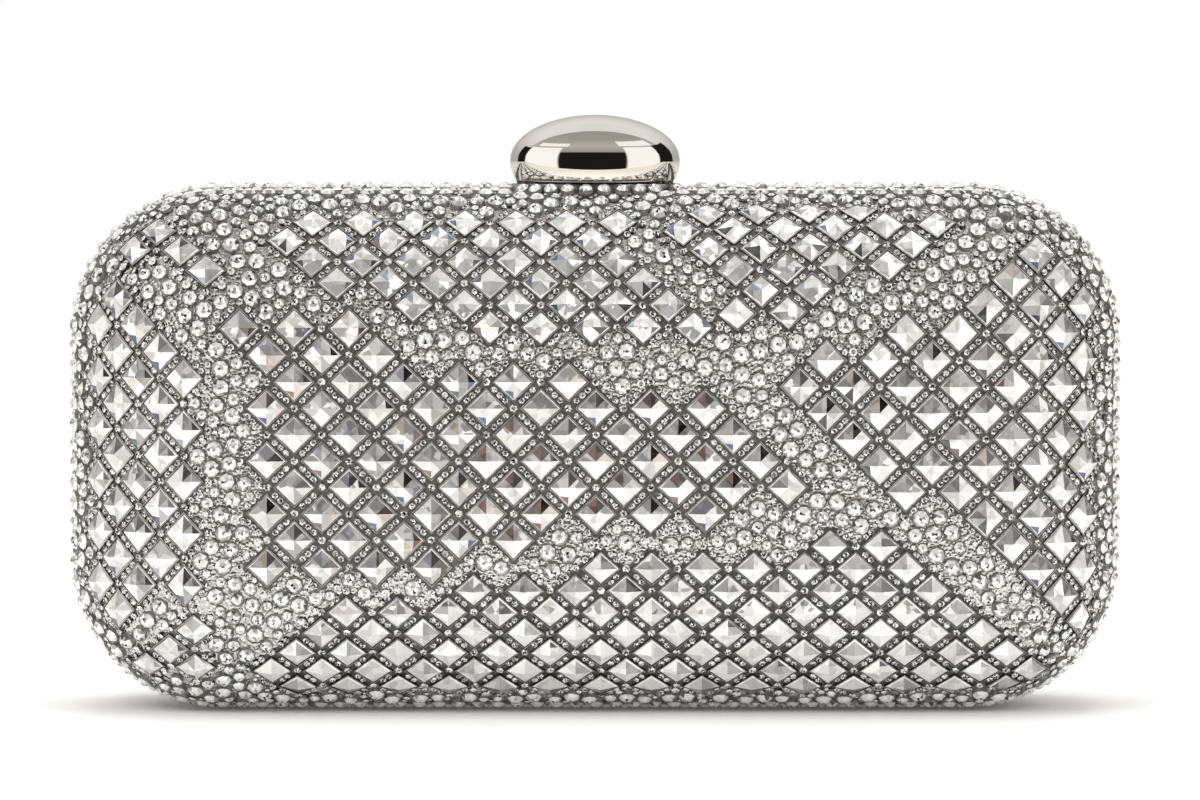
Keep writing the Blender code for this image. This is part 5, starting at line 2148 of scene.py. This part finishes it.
@dataclass
class Lining:
    """The moulded liner of one half, wrapped in satin, with a corded hem at its mouth."""

    side: Side
    form: CaseForm
    bench: Bench
    mouth: float = 0.0074
    setback: float = 0.00185
    wall: float = 0.0007
    hem: float = 0.0006
    hem_sides: int = 8
    hem_tuck: float = 0.6
    hem_rise: float = 0.5
    points: int = 120
    rings: int = 14
    finish: SatinFinish = SatinFinish("lining_satin")

    def ring(self, inset: float, depth: float) -> list[Vector]:
        """Return a ring of points round this half at an inset and a depth."""
        return self.form.ring(inset, depth, self.points, self.side)

    def make(self) -> None:
        """Make the lining and its hem."""
        form = self.form
        start = math.asin((self.mouth - form.side_wall) / form.roll_depth)
        rings = []
        for index in range(self.rings + 1):
            angle = start + (math.pi / 2 - start) * index / self.rings
            inset, depth = form.section(angle, -self.setback)
            rings.append(self.ring(inset, depth if index else self.mouth))
        bm = ring_loft(rings)
        bmesh.ops.solidify(bm, geom=bm.faces[:], thickness=self.wall)
        self.bench.half_piece(self.side, "satin_lining", bm, self.finish, Slot.LINING, "lining", smooth=50)
        inset, _ = form.section(start, -self.setback - self.wall - self.hem * self.hem_tuck)
        rings = []
        for index in range(self.hem_sides):
            angle = math.tau * index / self.hem_sides
            rings.append(self.ring(inset + self.hem * math.cos(angle),
                                   self.mouth + self.hem * (self.hem_rise + math.sin(angle))))
        self.bench.half_piece(self.side, "lining_hem", ring_loft(rings, close=True), self.finish, Slot.LINING,
                              smooth=60)


@dataclass
class Knob:
    """The oval push knob: a turned pebble, drawn in from front to back."""

    bench: Bench
    width: float = 0.0324
    depth: float = 0.020
    crown: float = 0.0086
    belly: float = 0.0111
    foot_drop: float = 0.0045
    steps: int = 96
    rows: int = 14
    merge_reach: float = 0.00001
    finish: PolishedFinish = PolishedFinish("knob_chrome", (0.85, 0.82, 0.78), 0.02)

    def make(self) -> None:
        """Make the knob."""
        low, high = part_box("clasp_knob")
        waist = high.z - self.crown
        half = self.width / 2
        foot_angle = math.asin(self.foot_drop / self.belly)
        profile = [(0.0, low.z)]
        for row in range(self.rows + 1):
            angle = foot_angle * (1 - row / self.rows)
            profile.append((half * math.cos(angle), waist - self.belly * math.sin(angle)))
        for row in range(1, self.rows + 1):
            angle = math.pi / 2 * row / self.rows
            profile.append((half * math.cos(angle), waist + self.crown * math.sin(angle)))
        bm = bmesh.new()
        verts = [bm.verts.new((radius, 0, z)) for radius, z in profile]
        edges = [bm.edges.new(pair) for pair in zip(verts, verts[1:])]
        bmesh.ops.spin(bm, geom=verts + edges, cent=(0, 0, 0), axis=(0, 0, 1), angle=math.tau,
                       steps=self.steps, use_merge=True)
        bmesh.ops.remove_doubles(bm, verts=bm.verts[:], dist=self.merge_reach)
        bmesh.ops.scale(bm, vec=(1, self.depth / self.width, 1), verts=bm.verts[:])
        self.bench.piece("polished_knob", bm, self.finish, "clasp_button", Slot.KNOB, ["clasp_knob"],
                         smooth=50)


@dataclass
class Metalwork:
    """The frame's own metal nodes, dressed in their finishes."""

    bench: Bench
    nickel: PolishedFinish = NICKEL
    steel: PolishedFinish = PolishedFinish("clasp_steel", (0.55, 0.55, 0.56), 0.28, stretch=(1.0, 12.0, 12.0))
    shell: PolishedFinish = PolishedFinish("shell_satin", (0.42, 0.42, 0.43), 0.38)
    nickel_words: tuple[str, ...] = ("rim", "hinge", "rivet", "bracket")
    shell_words: tuple[str, ...] = ("shell",)

    def make(self, nodes: dict[str, bpy.types.Object]) -> None:
        """Dress the nodes.

        Args:
            nodes: the frame's nodes, by name.
        """
        for name, node in nodes.items():
            finish = self.steel
            if any(word in name for word in self.nickel_words):
                finish = self.nickel
            elif any(word in name for word in self.shell_words):
                finish = self.shell
            node.data.materials.clear()
            node.data.materials.append(self.bench.material(finish))
            LOG.info("%s: dressed in %s", name, finish.name)


@dataclass(frozen=True)
class Card:
    """A soft box or a dark flag that mirrors show: its ranges of turn and height, and its shade."""

    turn_low: float
    turn_high: float
    low: float
    high: float
    shade: float = 1.0


@dataclass(frozen=True)
class Lamp:
    """A soft square lamp."""

    name: str
    place: tuple[float, float, float]
    size: float
    power: float


TENT = (
    (0.0, (0.90, 0.87, 0.83)), (0.40, (0.74, 0.72, 0.69)), (0.50, (0.42, 0.405, 0.39)),
    (0.62, (0.44, 0.43, 0.42)), (0.75, (0.60, 0.585, 0.57)), (0.92, (0.78, 0.77, 0.76)),
    (1.0, (0.74, 0.73, 0.72)))
ROOM = (
    (0.0, (0.90, 0.85, 0.78)), (0.34, (0.86, 0.80, 0.72)), (0.36, (0.012, 0.010, 0.009)),
    (0.68, (0.016, 0.014, 0.012)), (0.70, (0.30, 0.28, 0.26)), (0.83, (0.47, 0.445, 0.42)),
    (0.95, (0.34, 0.32, 0.30)))
DARK: Colour = (0.012, 0.010, 0.009)
BACKDROP = Card(-1.88, 1.92, -0.31, 0.40)
CARDS = (
    Card(-1.466, -0.593, -0.29, 0.60), Card(0.506, 1.274, -0.29, 0.62),
    Card(-1.30, -0.50, 0.65, 0.75, 0.95), Card(0.45, 1.35, 0.665, 0.82, 0.95),
    Card(-1.88, -1.466, 0.36, 0.56, 0.012), Card(1.274, 1.92, 0.36, 0.66, 0.012))
LAMPS = (
    Lamp("key", (-0.7, -0.9, 1.1), 0.7, 5.0),
    Lamp("fill", (0.9, -0.8, 0.8), 0.8, 3.5),
    Lamp("top", (0.0, 0.1, 1.4), 0.9, 9.0))


@dataclass
class Studio:
    """Camera, lights, floor and surroundings."""

    picture: tuple[int, int] = (1200, 800)
    metres_per_pixel: float = 0.00019157
    origin_pixel: tuple[float, float] = (595.0, 706.0)
    distance: float = 1.2
    elevation: float = 3.0
    sensor: float = 36.0
    lamp_target: tuple[float, float, float] = (0.0, 0.0, 0.05)
    floor_size: float = 4.0
    floor_ahead: float = 0.34
    card_soft_turn: float = 0.03
    card_soft_height: float = 0.012
    ahead_start: float = 0.02
    ahead_end: float = 2.0
    card_colour: Colour = (1.0, 0.985, 0.96)

    def make(self) -> None:
        """Make the studio."""
        bpy.context.scene.view_settings.view_transform = "Standard"
        self.make_camera()
        self.make_floor()
        self.make_world()
        self.make_lamps()

    @staticmethod
    def stand(name: str, data: bpy.types.ID, place: Vector, way: Vector) -> bpy.types.Object:
        """Stand a camera or a lamp in the scene.

        Args:
            name: its name.
            data: its camera or lamp data.
            place: where it stands.
            way: the way that it looks.

        Returns:
            The object.
        """
        item = bpy.data.objects.new(name, data)
        bpy.context.scene.collection.objects.link(item)
        item.location = place
        item.rotation_mode = "QUATERNION"
        item.rotation_quaternion = way.to_track_quat("-Z", "Y")
        return item

    def make_camera(self) -> None:
        """Stand the camera where the photograph was taken from."""
        width, height = self.picture
        x = (width / 2 - self.origin_pixel[0]) * self.metres_per_pixel
        z = (self.origin_pixel[1] - height / 2) * self.metres_per_pixel
        camera = bpy.data.cameras.new("camera")
        camera.sensor_width = self.sensor
        camera.lens = self.sensor * self.distance / (width * self.metres_per_pixel)
        tilt = math.radians(self.elevation)
        back = Vector((0, -math.cos(tilt), math.sin(tilt)))
        place = Vector((x, 0, z)) + back * self.distance
        bpy.context.scene.camera = self.stand("camera", camera, place, -back)

    def make_floor(self) -> None:
        """Lay the plain white floor."""
        bm = bmesh.new()
        bmesh.ops.create_grid(bm, x_segments=1, y_segments=1, size=self.floor_size / 2)
        bmesh.ops.translate(bm, vec=(0, self.floor_size / 2 - self.floor_ahead, 0), verts=bm.verts[:])
        mesh = bpy.data.meshes.new("floor")
        bm.to_mesh(mesh)
        bm.free()
        floor = bpy.data.objects.new("floor", mesh)
        bpy.context.scene.collection.objects.link(floor)
        mesh.materials.append(FloorFinish("floor_white").make())

    def make_world(self) -> None:
        """Surround the clutch: plain white light, and a studio for mirrors to show."""
        world = bpy.data.worlds.new("studio")
        bpy.context.scene.world = world
        world.use_nodes = True
        graph = NodeGraph(world.node_tree)
        rays = graph.node("ShaderNodeLightPath").outputs
        light = graph.node("ShaderNodeBackground", {"Color": (1.0, 0.985, 0.965, 1.0), "Strength": 0.9})
        seen = graph.node("ShaderNodeBackground", {"Color": (1.0, 1.0, 1.0, 1.0), "Strength": 1.0})
        studio = self.mirrored_studio(graph)
        mirrored = graph.node("ShaderNodeBackground", {"Strength": 1.16}, {"Color": studio})
        first = graph.node("ShaderNodeMixShader", links={
            0: rays["Is Glossy Ray"], 1: light.outputs[0], 2: mirrored.outputs[0]})
        last = graph.node("ShaderNodeMixShader", links={
            0: rays["Is Camera Ray"], 1: first.outputs[0], 2: seen.outputs[0]})
        output = next(node for node in world.node_tree.nodes if node.type == "OUTPUT_WORLD")
        graph.feed(output, {"Surface": last.outputs[0]})

    @staticmethod
    def within(graph: NodeGraph, value: Socket, low: float, high: float, soft: float = 0.02) -> Socket:
        """Tell softly whether a value lies in a range.

        Args:
            graph: the world's graph.
            value: the value.
            low: where the range starts.
            high: where it ends.
            soft: how wide its edges are.

        Returns:
            A socket that is 1 inside the range and 0 outside it.
        """
        rise, fall = (
            graph.node("ShaderNodeMapRange", {"interpolation_type": "SMOOTHSTEP", "From Min": start,
                                              "From Max": end}, {"Value": value}).outputs["Result"]
            for start, end in ((low - soft, low + soft), (high + soft, high - soft)))
        return graph.math("MULTIPLY", rise, fall)

    def mirrored_studio(self, graph: NodeGraph) -> Socket:
        """Wire what mirrors show: a white tent behind, and a dark room ahead with soft boxes and dark flags.

        Args:
            graph: the world's graph.

        Returns:
            The colour's socket.
        """
        way = graph.node("ShaderNodeTexCoord").outputs["Generated"]
        x, y, z = graph.node("ShaderNodeSeparateXYZ", links={"Vector": way}).outputs
        ahead = graph.math("MULTIPLY", y, -1.0)
        turn = graph.math("ARCTAN2", x, ahead)
        height = graph.math("MULTIPLY_ADD", z, 0.5, 0.5)
        colour = graph.mix(self.within(graph, ahead, self.ahead_start, self.ahead_end),
                           graph.ramp(height, TENT), graph.ramp(height, ROOM))
        backdrop = graph.math("MULTIPLY", self.within(graph, turn, BACKDROP.turn_low, BACKDROP.turn_high),
                              self.within(graph, z, BACKDROP.low, BACKDROP.high))
        colour = graph.mix(backdrop, colour, DARK)
        for card in CARDS:
            shown = graph.math(
                "MULTIPLY", self.within(graph, turn, card.turn_low, card.turn_high, self.card_soft_turn),
                self.within(graph, z, card.low, card.high, self.card_soft_height))
            colour = graph.mix(shown, colour, tuple(card.shade * channel for channel in self.card_colour))
        return colour

    def make_lamps(self) -> None:
        """Hang the soft lamps."""
        for lamp in LAMPS:
            light = bpy.data.lights.new(lamp.name, "AREA")
            light.size = lamp.size
            light.energy = lamp.power
            place = Vector(lamp.place)
            self.stand(lamp.name, light, place, Vector(self.lamp_target) - place).visible_glossy = False


def main() -> None:
    """Dress the clutch."""
    logging.basicConfig(level=logging.INFO, format="%(message)s")
    for item in list(bpy.data.objects):
        bpy.data.objects.remove(item, do_unlink=True)
    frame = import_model()
    bench = Bench()
    form = CaseForm.from_frame()
    plan = PanelPlan(form)
    Metalwork(bench).make(frame["nodes"])
    Knob(bench).make()
    chatons, fillers = RoundStonePlan(form, plan).make()
    LOG.info("%d chatons and %d fillers on a half", len(chatons), len(fillers))
    for side in Side:
        StonedHalf(side, form, plan, chatons, fillers, bench).make()
        Lining(side, form, bench).make()
    Studio().make()


if __name__ == "__main__":
    main()
